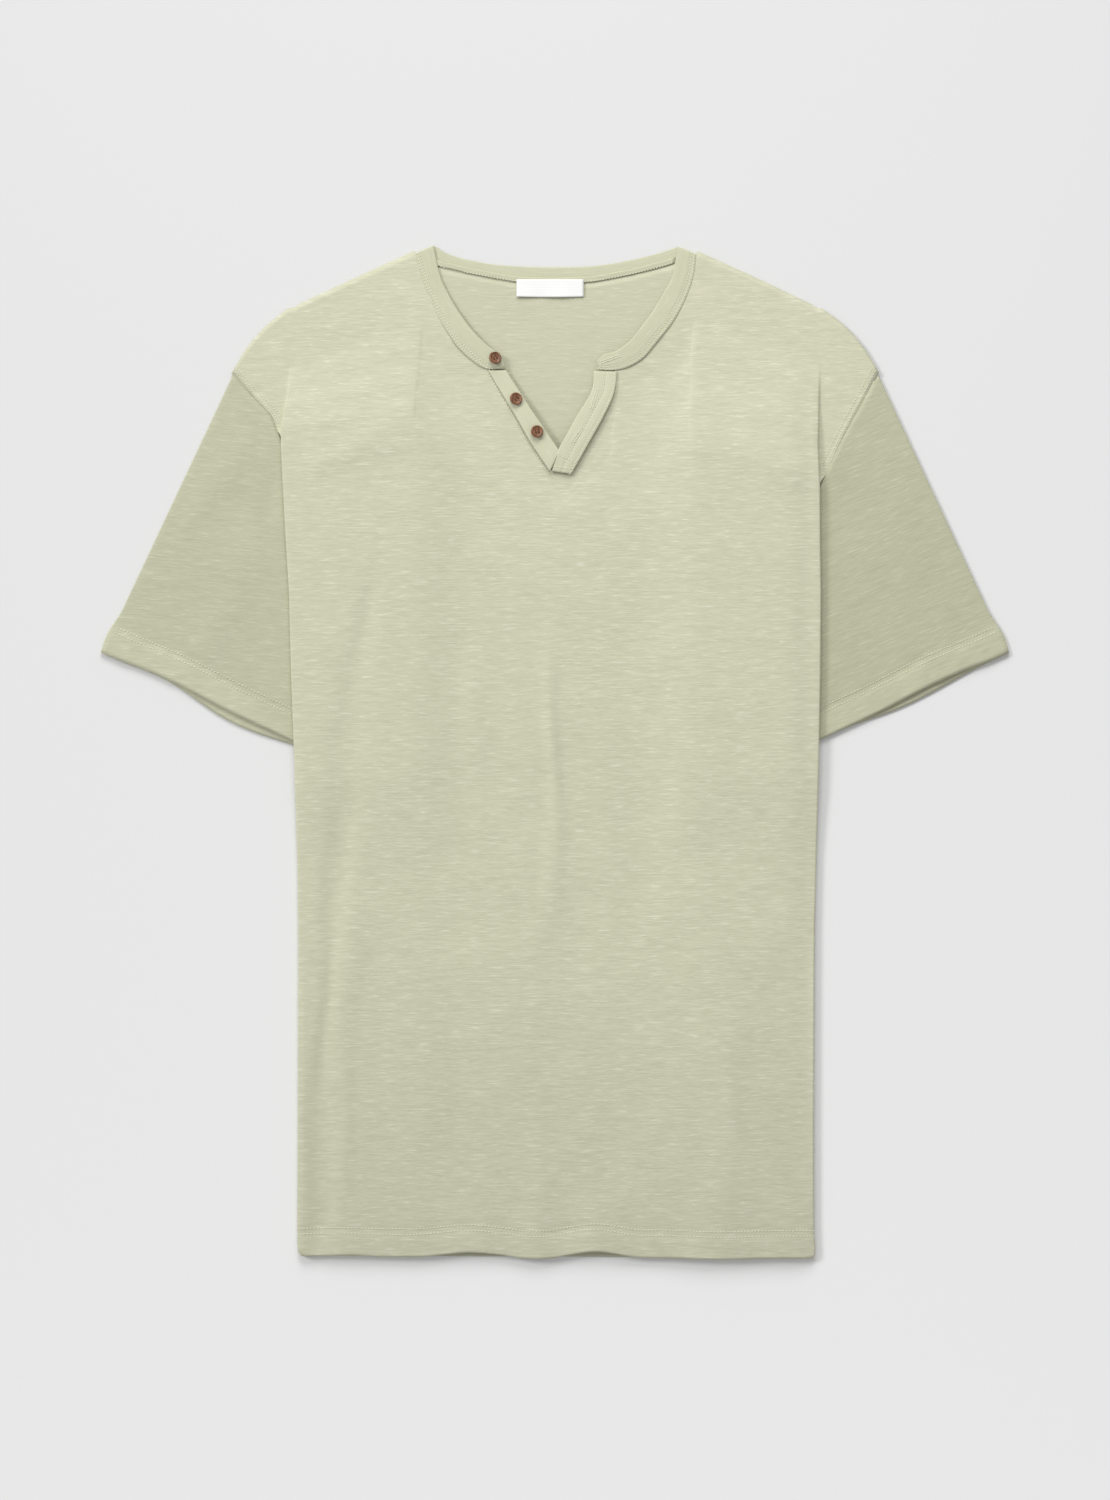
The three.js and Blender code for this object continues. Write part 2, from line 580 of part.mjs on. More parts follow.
function button(number, { x, y, turn, level }) {
  const mesh = piece(`button_${number}`, buttonGeometry(), BUTTON_SHELL);
  const seat = level + (DOUBLED - CLOTH) / 2 + DOUBLED / 2 + GAP;
  mesh.position.set(x, y, seat);
  mesh.rotation.z = THREE.MathUtils.degToRad(turn);
  return mesh;
}

const shirt = new THREE.Group();
shirt.add(panel('back_panel', 'back'));
shirt.add(panel('front_panel', 'front'));
shirt.add(sleeve('sleeve_right', 'right', -1));
shirt.add(sleeve('sleeve_left', 'left', 1));
shirt.add(neckband());
shirt.add(placket('placket_buttons', BUTTON_PLACKET, false));
shirt.add(placket('placket_buttonholes', BUTTONHOLE_PLACKET, true));
shirt.add(neckTape());
shirt.add(label());
BUTTONS.forEach((place, k) => shirt.add(button(k + 1, place)));

export default shirt;
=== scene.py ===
import math

import bmesh
import bpy
import numpy as np
from mathutils import Euler, Matrix, Vector
from mathutils.bvhtree import BVHTree


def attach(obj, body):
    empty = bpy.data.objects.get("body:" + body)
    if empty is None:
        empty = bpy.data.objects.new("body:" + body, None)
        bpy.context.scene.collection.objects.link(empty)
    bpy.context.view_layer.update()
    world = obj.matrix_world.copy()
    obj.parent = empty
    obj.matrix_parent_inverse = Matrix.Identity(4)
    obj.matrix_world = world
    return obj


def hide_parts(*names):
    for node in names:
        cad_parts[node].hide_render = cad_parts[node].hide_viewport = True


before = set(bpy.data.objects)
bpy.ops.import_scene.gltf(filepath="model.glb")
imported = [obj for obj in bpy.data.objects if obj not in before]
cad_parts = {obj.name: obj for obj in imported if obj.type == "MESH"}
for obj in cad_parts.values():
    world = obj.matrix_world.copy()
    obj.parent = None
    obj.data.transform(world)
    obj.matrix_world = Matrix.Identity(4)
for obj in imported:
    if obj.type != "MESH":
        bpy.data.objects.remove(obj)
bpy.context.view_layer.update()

MM = 0.001


# The table, the daylight and the camera
# The shirt lies on a pale matt table. A large soft light stands beyond the neck, weak daylight falls in
# low from the wearer's right, and the camera looks straight down.
FRAME_TALL = 1095.0  # millimetres of table that the picture shows from top to bottom
CAMERA_HEIGHT = 2600.0


def linear(hex_colour):
    """An sRGB hex value as linear red, green, blue and alpha."""
    parts = [int(hex_colour[k:k + 2], 16) / 255 for k in (1, 3, 5)]
    return (*[c / 12.92 if c <= 0.04045 else ((c + 0.055) / 1.055) ** 2.4 for c in parts], 1.0)


def add_node(material, kind, links=None, **settings):
    """A node in the material's tree: plain settings first, then inputs by socket name or number."""
    tree = material.node_tree
    node = tree.nodes.new(kind)
    for name, value in settings.items():
        setattr(node, name, value)
    for socket, value in (links or {}).items():
        if isinstance(value, bpy.types.NodeSocket):
            tree.links.new(value, node.inputs[socket])
        else:
            node.inputs[socket].default_value = value
    return node


def new_material(name, roughness, sheen=0.0, specular=0.5):
    """A named material with a Principled shader, and that shader."""
    material = bpy.data.materials.new(name)
    material.use_nodes = True
    shader = material.node_tree.nodes["Principled BSDF"]
    shader.inputs["Roughness"].default_value = roughness
    shader.inputs["Specular IOR Level"].default_value = specular
    shader.inputs["Sheen Weight"].default_value = sheen
    shader.inputs["Sheen Roughness"].default_value = 0.5
    return material, shader


def link(material, output, shader, socket):
    material.node_tree.links.new(output, shader.inputs[socket])


def stage_object(name, data):
    thing = bpy.data.objects.new(name, data)
    bpy.context.scene.collection.objects.link(thing)
    return thing


# Painted board: matt and even, shaded paler away from the light so that it looks the same all over
board, board_shader = new_material("matt_painted_board", 0.9, specular=0.2)
board_place = add_node(board, "ShaderNodeTexCoord")
board_axes = add_node(board, "ShaderNodeSeparateXYZ", {0: board_place.outputs["Object"]})
board_run = add_node(board, "ShaderNodeMapRange", {"Value": board_axes.outputs["Y"], "From Min": 0.55,
                                                   "From Max": -0.55})
board_tone = add_node(board, "ShaderNodeMix", {0: board_run.outputs[0], 6: linear("#dadada"),
                                               7: linear("#f4f4f4")},
                      data_type="RGBA")
link(board, board_tone.outputs[2], board_shader, "Base Color")

table_mesh = bpy.data.meshes.new("table_top")
TABLE_HALF = 6.0
table_mesh.from_pydata([(-TABLE_HALF, -TABLE_HALF, 0), (TABLE_HALF, -TABLE_HALF, 0),
                        (TABLE_HALF, TABLE_HALF, 0), (-TABLE_HALF, TABLE_HALF, 0)], [], [(0, 1, 2, 3)])
table_mesh.materials.append(board)
table_top = stage_object("table_top", table_mesh)
table_top.location.z = -0.0006

world = bpy.data.worlds.new("white_room")
bpy.context.scene.world = world
world.use_nodes = True
world.node_tree.nodes["Background"].inputs["Color"].default_value = (1.0, 1.0, 1.0, 1.0)
world.node_tree.nodes["Background"].inputs["Strength"].default_value = 0.49


def soft_light(name, place, aim, size, power):
    lamp = bpy.data.lights.new(name, "AREA")
    lamp.shape = "SQUARE"
    lamp.size = size
    lamp.energy = power
    thing = stage_object(name, lamp)
    thing.location = place
    thing.rotation_euler = (Vector(aim) - Vector(place)).to_track_quat("-Z", "Y").to_euler()


soft_light("window_light", (-0.1, 2.1, 1.5), (0.0, 0.05, 0.0), 1.3, 35.0)

daylight_data = bpy.data.lights.new("daylight", "SUN")
daylight_data.energy = 1.25
daylight_data.angle = math.radians(16)
daylight = stage_object("daylight", daylight_data)
daylight.rotation_euler = Vector((-0.8, 0.4, 0.62)).to_track_quat("Z", "Y").to_euler()

camera_data = bpy.data.cameras.new("overhead_camera")
camera_data.sensor_width = 36.0
camera_data.lens = 36.0 * CAMERA_HEIGHT / FRAME_TALL
camera = stage_object("overhead_camera", camera_data)
camera.location = (0.0, 0.0, CAMERA_HEIGHT * MM)
bpy.context.scene.camera = camera
bpy.context.scene.view_settings.view_transform = "Standard"


# Body: back and front panels
# Single jersey of slub cotton yarn, cut as two panels and sewn at the shoulders and sides. Both sides
# of the body are turned under by 77 mm, on top of the sleeves, and the cut edge below is a turned hem.
CLOTH = 0.8  # millimetres of one layer here; the layers keep the pitch of the rigid model
LAYER = 1.3
BACK_LEVEL = 0.5
FRONT_LEVEL = BACK_LEVEL + LAYER
BEND = 1.6
BEND_STEPS = 5
STRIP_STEPS = 10
RAMP = (60.0, 106.0)
STRAIGHT = 0.4
CELL = 4.0

# place; for the wearer's right and left: height, fold from the middle, armhole seam x and y;
# tuck, layers beneath, heading of the cloth after the fold as a share of a half turn
SECTIONS = [
    ("hem edge", (-368.8, 184.4, 0, 0), (-370.4, 187.2, 0, 0), 77, 1.0, -1.0),
    ("hem round", (-365.8, 187.0, 0, 0), (-367.0, 189.4, 0, 0), 77, 1.0, -1.0),
    ("hem middle", (-359.0, 187.4, 0, 0), (-360.0, 189.2, 0, 0), 77, 1.0, -1.0),
    ("hem stitch", (-350.5, 187.6, 0, 0), (-352.0, 188.5, 0, 0), 77, 1.0, -1.0),
    ("seat", (-280.0, 187.2, 0, 0), (-280.0, 188.3, 0, 0), 77, 1.0, -1.0),
    ("hip", (-190.0, 187.0, 0, 0), (-190.0, 188.6, 0, 0), 77, 1.0, -1.0),
    ("waist", (-130.0, 186.9, 0, 0), (-130.0, 188.9, 0, 0), 77, 1.0, -1.0),
    ("below cuff", (-84.0, 187.4, 0, 0), (-84.0, 190.0, 0, 0), 77, 1.0, -1.0),
    ("cuff", (-10.0, 189.4, 0, 0), (-10.0, 191.8, 0, 0), 77, 3.0, -1.0),
    ("ribs", (55.0, 191.9, 0, 0), (55.0, 193.0, 0, 0), 77, 3.0, -1.0),
    ("underarm", (114.0, 193.4, 0, 0), (114.0, 193.4, 0, 0), 77, 3.0, -1.0),
    ("chest", (165.0, 196.5, 0, 0), (150.0, 192.9, 0, 0), 42, 3.0, -1.0),
    ("tuck ends", (219.0, 199.2, 0, 0), (184.7, 192.7, 0, 0), 4, 3.0, -1.0),
    ("under seam", (224.0, 199.3, 0, 0), (189.7, 192.7, 0, 0), 0, 3.0, -0.75),
    ("over seam", (230.0, 199.2, 0, 0), (195.7, 192.5, 0, 0), 0, 3.0, -0.25),
    ("seam shows", (235.0, 199.0, 202.4, 233.5), (201.0, 192.2, 197.0, 201.0), 0, 3.0, 0.0),
    ("lower armhole", (247.0, 197.5, 206.4, 243.8), (224.0, 191.4, 206.0, 220.7), 0, 2.1, 0.0),
    ("upper armhole", (262.0, 194.5, 213.6, 251.4), (255.0, 192.4, 215.4, 238.6), 0, 0.9, 0.0),
    ("fold ends", (283.0, 192.6, 222.4, 260.6), (285.0, 193.4, 226.0, 257.8), 0, 0.0, 0.0),
    ("shoulder", (322.3, 192.7, 234.6, 274.6), (322.3, 192.7, 235.0, 275.2), 0, 0.0, 0.0),
]
LAST_LEVEL = 11
FIRST_OPEN = 15
TURN_STRIP = 0.8
PUFF = 1.4  # the front stands this much clear of the back, so that the side folds stay round
BACK_EDGE = 2.0
SHOULDER_WAY = np.array([0.66, 0.75])
SHOULDER_ROUND = 4.4  # how far the shoulder line swells past a straight one near its tip

NECKBAND = [
    (-48.9, 277.6, -35.8, 277.8, 1), (-52.5, 278.8, -38.9, 285.6, 1), (-60.0, 283.7, -49.2, 294.8, 1),
    (-70.4, 293.2, -59.3, 304.9, 1), (-80.6, 308.2, -68.4, 316.8, 1), (-90.6, 327.0, -77.2, 331.2, 1),
    (-98.6, 348.2, -84.7, 349.0, 1), (-101.6, 361.6, -88.6, 367.2, 1), (-97.5, 359.4, -87.2, 367.6, 0),
    (-85.4, 352.3, -79.6, 362.6, 0), (-58.6, 346.1, -53.6, 355.6, 0), (-28.5, 340.7, -26.4, 352.9, 0),
    (-2.0, 339.6, -2.0, 352.2, 0), (27.5, 340.7, 25.6, 352.9, 0), (56.0, 346.1, 53.4, 357.0, 0),
    (84.7, 353.7, 79.4, 363.6, 0), (98.0, 359.4, 88.0, 366.6, 0), (103.0, 361.0, 89.4, 366.4, 1),
    (101.5, 348.2, 86.6, 349.0, 1), (95.6, 330.0, 80.6, 335.8, 1), (86.1, 312.4, 71.6, 320.4, 1),
    (74.5, 297.8, 63.0, 308.6, 1), (62.8, 284.6, 54.4, 298.0, 1), (51.8, 278.6, 44.6, 290.8, 1),
    (40.0, 276.6, 35.4, 288.0, 1), (31.6, 277.4, 30.8, 283.6, 1),
]
BUTTON_PLACKET = [(-48.6, 276.6, -35.6, 276.6), (-39.4, 261.0, -26.6, 262.4), (-29.9, 245.3, -17.5, 248.2),
                  (-17.5, 223.6, -5.6, 230.8), (-3.6, 202.8, 3.4, 217.6)]
BUTTONHOLE_PLACKET = [(45.2, 275.8, 28.4, 276.0), (43.1, 260.6, 26.8, 262.0), (35.8, 243.8, 15.8, 243.0),
                      (27.0, 227.8, 7.4, 227.6), (19.0, 213.6, 2.4, 218.2), (11.7, 200.8, -2.4, 203.0)]
NECK_RIGHT = (-103.2, 363.9)
NECK_LEFT = (104.6, 363.6)
BACK_SEAM_GAP = 0.1
UNDERLAP = -1.8  # the front runs in under the neckband and the plackets

# Hem waves: middle, half width, how far the edge draws up, how far it stands off
HEM_WAVES = [(-61, 40, 3.2, 1.7), (30, 34, 4.4, 2.1), (-150, 26, 0.8, 0.5), (118, 44, -0.9, 0.6),
             (-14, 24, -1.2, 1.6)]
WAVE_FADE = 90.0
# Main creases of the front: from x, y, to x, y, half width, height (a trough is negative)
CREASES = [
    (-136, 112, -163, -114, 11, -1.6), (-163, -110, -173, -352, 8, -1.7), (-186, -190, -187, -352, 6, 1.1),
    (-148, -130, -158, -340, 9, 0.7),
    (-2, 60, -1, -110, 9, 1.2), (-58, 50, -58, 0, 10, 0.9), (10, 0, 16, -150, 26, -0.9),
    (58, -10, 64, -120, 34, -1.0), (-73, -240, -64, -290, 26, -0.9), (42, -280, 40, -330, 22, -0.8),
    (124, -210, 126, -340, 26, 1.2), (166, -150, 172, -330, 20, -0.9), (-118, 235, -176, 205, 13, 0.8),
    (120, 222, 178, 196, 14, 0.8), (-90, 180, -30, 120, 26, 0.6), (88, 170, 20, 110, 28, 0.6),
    (-196, 268, -212, 262, 7, -0.7), (0, 190, 4, 120, 18, 0.7), (-60, -150, -20, -230, 24, 0.6),
]


def smooth_step(low, high, value):
    t = np.clip((np.asarray(value, float) - low) / (high - low), 0.0, 1.0)
    return t * t * (3 - 2 * t)


def swell(distance, half):
    """1 in the middle, 0 past the half width, with no corner."""
    return (1 + np.cos(np.pi * np.clip(np.abs(distance) / half, 0, 1))) / 2


def uneven(x, y, size, seed):
    """Smooth unevenness from -1 to 1: a few crossing waves about one size, in millimetres."""
    draw = np.random.default_rng(seed)
    total = 0.0
    for _ in range(7):
        angle, phase = draw.uniform(0, 2 * np.pi, 2)
        length = size * draw.uniform(0.75, 1.5)
        total = total + np.sin(2 * np.pi * (x * np.cos(angle) + y * np.sin(angle)) / length + phase)
    return total / 7 ** 0.5 / 1.4


def through(points, count, smoothness=1.0):
    """Points spaced along a soft curve through the given rows."""
    points = np.asarray(points, float)
    steps = np.r_[0, np.cumsum(np.hypot(*np.diff(points[:, :2], axis=0).T))]
    slopes = np.gradient(points, steps, axis=0) * smoothness
    places = np.linspace(0, steps[-1], count)
    k = np.clip(np.searchsorted(steps, places, side="right") - 1, 0, len(steps) - 2)
    span = (steps[k + 1] - steps[k])[:, None]
    t = (places[:, None] - steps[k][:, None]) / span
    h00, h10 = 2 * t ** 3 - 3 * t ** 2 + 1, t ** 3 - 2 * t ** 2 + t
    h01, h11 = 3 * t ** 2 - 2 * t ** 3, t ** 3 - t ** 2
    return h00 * points[k] + h10 * span * slopes[k] + h01 * points[k + 1] + h11 * span * slopes[k + 1]


def seam_edge(rows, gap):
    """The outer edge of a strip moved outward by a gap, to where the panel beside it ends."""
    rows = np.asarray(rows, float)[:, :4]
    away = rows[:, :2] - rows[:, 2:4]
    away /= np.linalg.norm(away, axis=1)[:, None]
    return rows[:, :2] + away * gap


def bend_step(start, stop, length):
    turn = stop - start
    if abs(turn) < 1e-6:
        return length * math.cos(start), length * math.sin(start)
    return (length * (math.sin(stop) - math.sin(start)) / turn,
            length * (math.cos(start) - math.cos(stop)) / turn)


def bend_drop(down, finish, straight):
    return -(bend_step(0, -down, BEND)[1] + bend_step(-down, finish, BEND)[1]) + straight * math.sin(down)


def fold_path(fold, top, drop, finish):
    """The cloth's way over a side fold, as x and z: out, down and on to its last heading."""
    down = math.pi / 2
    straight = drop - bend_drop(down, finish, 0)
    if finish > -0.05 and straight < STRAIGHT:
        straight = STRAIGHT
        low = 0.0
        for _ in range(40):
            middle = (low + down) / 2
            if bend_drop(middle, finish, STRAIGHT) < drop:
                low = middle
            else:
                down = middle
    path = [(0.0, 0.0)]

    def advance(step):
        path.append((path[-1][0] + step[0], path[-1][1] + step[1]))

    for k in range(BEND_STEPS):
        advance(bend_step(-down * k / BEND_STEPS, -down * (k + 1) / BEND_STEPS, BEND / BEND_STEPS))
    for _ in range(2):
        advance((straight / 2 * math.cos(down), -straight / 2 * math.sin(down)))
    for k in range(BEND_STEPS):
        ends = [-down + (finish + down) * (k + e) / BEND_STEPS for e in (0, 1)]
        advance(bend_step(ends[0], ends[1], BEND / BEND_STEPS))
    path = np.array(path)
    wall = path[BEND_STEPS + 1, 0]
    return path + (fold - wall, top)


def side_keys(side, layer):
    """Each section's numbers for one side: height, fold, top, drop, finish, end of the cloth."""
    keys = []
    for _, right, left, tuck, layers, turn in SECTIONS:
        y, fold, seam_x, seam_y = right if side == "right" else left
        lift = layers * LAYER
        finish = turn * math.pi
        is_open = seam_x > 0
        if layer == "front":
            puff = PUFF * float(1 - smooth_step(225, 285, y))
            top = FRONT_LEVEL + lift + puff
            if is_open:
                keys.append([y, fold, top, lift + puff, 0.0, seam_x - fold - 0.35, seam_y - y, 0.0])
            elif turn == -1.0:
                keys.append([y, fold, top, 2 * LAYER + puff, finish, 1.0 - tuck, 0.0, 0.0])
            else:
                reach = TURN_STRIP
                keys.append([y, fold, top, 2 * LAYER + puff - reach * math.sin(math.pi / 4), finish,
                             reach * math.cos(finish), 0.0, reach * math.sin(finish)])
        else:
            top = BACK_LEVEL + lift
            if is_open:
                keys.append([y, fold - LAYER, top, lift, 0.0, seam_x - fold + 0.3, seam_y - y, 0.0])
            else:
                keys.append([y, fold - BACK_EDGE - 2.1, top, 0.0, 0.0, 0.3, 0.0, 0.0])
    return np.array(keys)


def blended(keys, place):
    """A section between the table's rows: heights straight, the rest eased."""
    k = min(int(place), len(keys) - 2)
    t = place - k
    soft = t * t * (3 - 2 * t)
    row = keys[k] * (1 - t) + keys[k + 1] * t
    row[2:4] = keys[k, 2:4] * (1 - soft) + keys[k + 1, 2:4] * soft
    return row


def side_points(row):
    y, fold, top, drop, finish, reach_x, reach_y, reach_z = row
    path = fold_path(fold, top, drop, finish)
    bend = np.c_[path[:, 0], np.full(len(path), y), path[:, 1]]
    t = np.linspace(0, 1, STRIP_STEPS + 1)[1:, None]
    return np.vstack([bend, bend[-1] + t * np.array([reach_x, reach_y, reach_z])])


key_rows = {(s, l): side_keys(s, l) for s in ("right", "left") for l in ("front", "back")}
row_places = []
for k in range(len(SECTIONS) - 1):
    gap = abs(SECTIONS[k + 1][1][0] - SECTIONS[k][1][0])
    count = max(2, round(gap / CELL))
    row_places += [k + n / count for n in range(count)]
row_places.append(len(SECTIONS) - 1.0)

front_edge = np.vstack([
    through([(-191.0, 323.3), (-146.8, 343.9), NECK_RIGHT], 23)[:-1],
    through(np.vstack([NECK_RIGHT, seam_edge(NECKBAND[:8], UNDERLAP)[::-1]]), 26, 0.9)[:-1],
    through(seam_edge(BUTTON_PLACKET, UNDERLAP), 16)[:-1],
    np.linspace(seam_edge(BUTTON_PLACKET, UNDERLAP)[-1], seam_edge(BUTTONHOLE_PLACKET, UNDERLAP)[-1], 5)[:-1],
    through(seam_edge(BUTTONHOLE_PLACKET, UNDERLAP)[::-1], 18)[:-1],
    through(np.vstack([seam_edge(NECKBAND[17:25], UNDERLAP)[::-1], NECK_LEFT]), 26, 0.9)[:-1],
    through([NECK_LEFT, (148.4, 343.7), (191.0, 323.3)], 23),
])
front_edge = front_edge[np.r_[True, np.diff(np.maximum.accumulate(front_edge[:, 0])) > 0.15]]
back_neck = seam_edge([row for row in NECKBAND if row[4] == 0], BACK_SEAM_GAP)
back_line = np.vstack([(NECK_RIGHT[0] + 0.1, 361.6), back_neck, (NECK_LEFT[0] - 0.1, 361.6)])


neck_opening = np.vstack([through([row[2:4] for row in NECKBAND[:8]], 60),
                          through([row[2:4] for row in BUTTON_PLACKET], 40),
                          through([row[2:4] for row in BUTTONHOLE_PLACKET],
                                  40), through([row[2:4] for row in NECKBAND[17:]], 60)])


def from_opening(x, y):
    """Distance in millimetres to the free edge of the neck and the slit."""
    near = np.full(np.shape(x), 1e9)
    for ex, ey in neck_opening:
        near = np.minimum(near, (x - ex) ** 2 + (y - ey) ** 2)
    return np.sqrt(near)


def front_relief(x, y):
    """How the front rises and sinks between its folds: creases, the neck's lift and slack."""
    height = np.zeros(np.shape(x))
    for x0, y0, x1, y1, half, tall in CREASES:
        dx, dy = x1 - x0, y1 - y0
        length = math.hypot(dx, dy)
        along = ((x - x0) * dx + (y - y0) * dy) / length
        wander = 2.5 * np.sin(along / 31.0 + x0)
        across = ((x - x0) * dy - (y - y0) * dx) / length + wander
        ends = smooth_step(-40, 25, along) * smooth_step(-40, 25, length - along)
        width = half * (0.8 + 0.35 * np.sin(along / 47.0 + y0))
        height = height + tall * ends * np.exp(-((across / width) ** 2))
    height = height * 1.35
    calm = smooth_step(0, 30, 192 - np.abs(x))
    roll = 0.6 + 1.1 * smooth_step(-120, 120, x)
    height = height + roll * smooth_step(0, 20, 189 - np.abs(x)) * (1 - smooth_step(225, 290, y))
    stand = (1 - smooth_step(296, 345, y)) * smooth_step(196, 215, y)
    height = height + 1.5 * stand * np.exp(-((from_opening(x, y) / 24) ** 2))
    height = height + 0.34 * uneven(x, y, 120.0, 3) + 0.16 * calm * uneven(x, y, 46.0, 5)
    above = y + 369.5
    pucker = smooth_step(-2, 5, above) * (1 - smooth_step(15, 34, above))
    height = height + 0.42 * pucker * uneven(x * 1.4 + y * 1.3, y * 0.4, 30.0, 8)
    height = height * (1 - smooth_step(325, 352, y)) + 0.3 * (1 - smooth_step(17.2, 18.4, above))
    ditch = np.exp(-(((above - 18.2) / 1.6) ** 2))
    height = height - 0.45 * ditch * (0.7 + 0.5 * uneven(x, y, 34.0, 12))
    deepest = 0.3 + PUFF * 0.9 * (1 - smooth_step(215, 270, y))
    return np.where(height < 0, deepest * np.tanh(height / deepest), height)


def panel_points(layer):
    """The panel's grid of middle points, rows from hem to neck, columns from side to side."""
    front = layer == "front"
    first, span = front_edge[0, 0], front_edge[-1, 0] - front_edge[0, 0]
    share = (front_edge[1:-1, 0] - first) / span
    reach = front_edge[1:-1, 1]
    in_neck = (front_edge[1:-1, 0] > NECK_RIGHT[0] + 0.05) & (front_edge[1:-1, 0] < NECK_LEFT[0] - 0.05)
    own_reach = reach.copy()
    if not front:
        own_reach[in_neck] = np.interp(front_edge[1:-1, 0][in_neck], back_line[:, 0], back_line[:, 1])
    level = [blended(key_rows[s, layer], LAST_LEVEL)[0] for s in ("right", "left")]
    base = level[0] * (1 - share) + level[1] * share
    top_y = SECTIONS[-1][1][0]
    rows = []
    for place in row_places:
        right = side_points(blended(key_rows["right", layer], place))
        left = side_points(blended(key_rows["left", layer], place))
        if place > len(SECTIONS) - 2:
            for side in (right, left):
                bulge = SHOULDER_ROUND * (place - len(SECTIONS) + 2) ** 2
                t = np.linspace(0, 1, STRIP_STEPS + 1)[1:]
                side[-STRIP_STEPS:, :2] += (bulge * np.sin(np.pi * t))[:, None] * SHOULDER_WAY
        right[:, 0] *= -1
        x = right[0, 0] * (1 - share) + left[0, 0] * share
        y = right[0, 1] * (1 - share) + left[0, 1] * share
        if place > LAST_LEVEL:
            part = (y - base) / (top_y - base)
            y = base + part * (own_reach - base)
        lift = blended(key_rows["right", "back"], place)[2] - BACK_LEVEL
        puff = blended(key_rows["right", "front"], place)[2] - FRONT_LEVEL - lift if front else 0.0
        z = (FRONT_LEVEL if front else BACK_LEVEL) + puff + lift * smooth_step(*RAMP, np.abs(x))
        rows.append(np.vstack([right[::-1], np.c_[x, y, z], left]))
    grid = np.array(rows)
    if front:
        x, y = grid[..., 0].copy(), grid[..., 1].copy()
        turned = np.zeros(grid.shape[1], bool)
        steps = 2 * BEND_STEPS + 2 + STRIP_STEPS
        turned[:steps] = turned[-steps:] = True
        hold = np.where(turned[None, :] & (y < 240), 0.0, 1.0)
        relief = front_relief(x, y)
        edge_sink = smooth_step(0, 14, np.minimum(192 - np.abs(x), 400))
        open_rows = smooth_step(205, 240, y)
        relief *= hold * np.maximum(edge_sink, open_rows)
        grid[..., 2] += relief
        fade = (1 - smooth_step(0, WAVE_FADE, y + 369.0)) * hold
        for middle, half, draw, rise in HEM_WAVES:
            wave = swell(x - middle, half) * fade
            grid[..., 1] += draw * wave
            grid[..., 2] += rise * wave
    return grid


def cloth_object(name, grid, material, grain=0.0, wall=CLOTH, flow=None, closed=False, doubled_hem_painted_light=None):
    """A sheet through a grid of points in millimetres, given its wall, its UV in metres along the
    cloth's grain, and its finish. grain turns the knit's courses; flow gives the UV itself."""
    rows, columns = grid.shape[:2]
    vertices = grid.reshape(-1, 3) * MM
    faces = []
    last = columns if closed else columns - 1
    for j in range(rows - 1):
        for i in range(last):
            n = (i + 1) % columns
            faces.append((j * columns + i, j * columns + n, (j + 1) * columns + n, (j + 1) * columns + i))
    mesh = bpy.data.meshes.new(name)
    mesh.from_pydata(vertices.tolist(), [], faces)
    if flow is None:
        c, s = math.cos(math.radians(grain)), math.sin(math.radians(grain))
        x, y = grid[..., 0], grid[..., 1]
        flow = np.stack([x * c + y * s, y * c - x * s], axis=-1)
    flat_flow = flow.reshape(-1, 2) * MM
    uv = mesh.uv_layers.new(name="cloth")
    corner = np.empty(len(mesh.loops), int)
    mesh.loops.foreach_get("vertex_index", corner)
    uv.data.foreach_set("uv", flat_flow[corner].ravel())
    # A mask of painted light kept on the mesh: 1 where the colour of a cuff's turned hem is painted paler
    if doubled_hem_painted_light is not None:
        mesh.attributes.new("doubled_hem_painted_light", "FLOAT", "POINT").data.foreach_set("value",
                                                                          doubled_hem_painted_light.ravel().astype(float))
    mesh.polygons.foreach_set("use_smooth", [True] * len(mesh.polygons))
    mesh.materials.append(material)
    thing = bpy.data.objects.new(name, mesh)
    bpy.context.scene.collection.objects.link(thing)
    wall_step = thing.modifiers.new("wall", "SOLIDIFY")
    wall_step.thickness = wall * MM
    wall_step.offset = 0.0
    wall_step.use_even_offset = False
    return thing


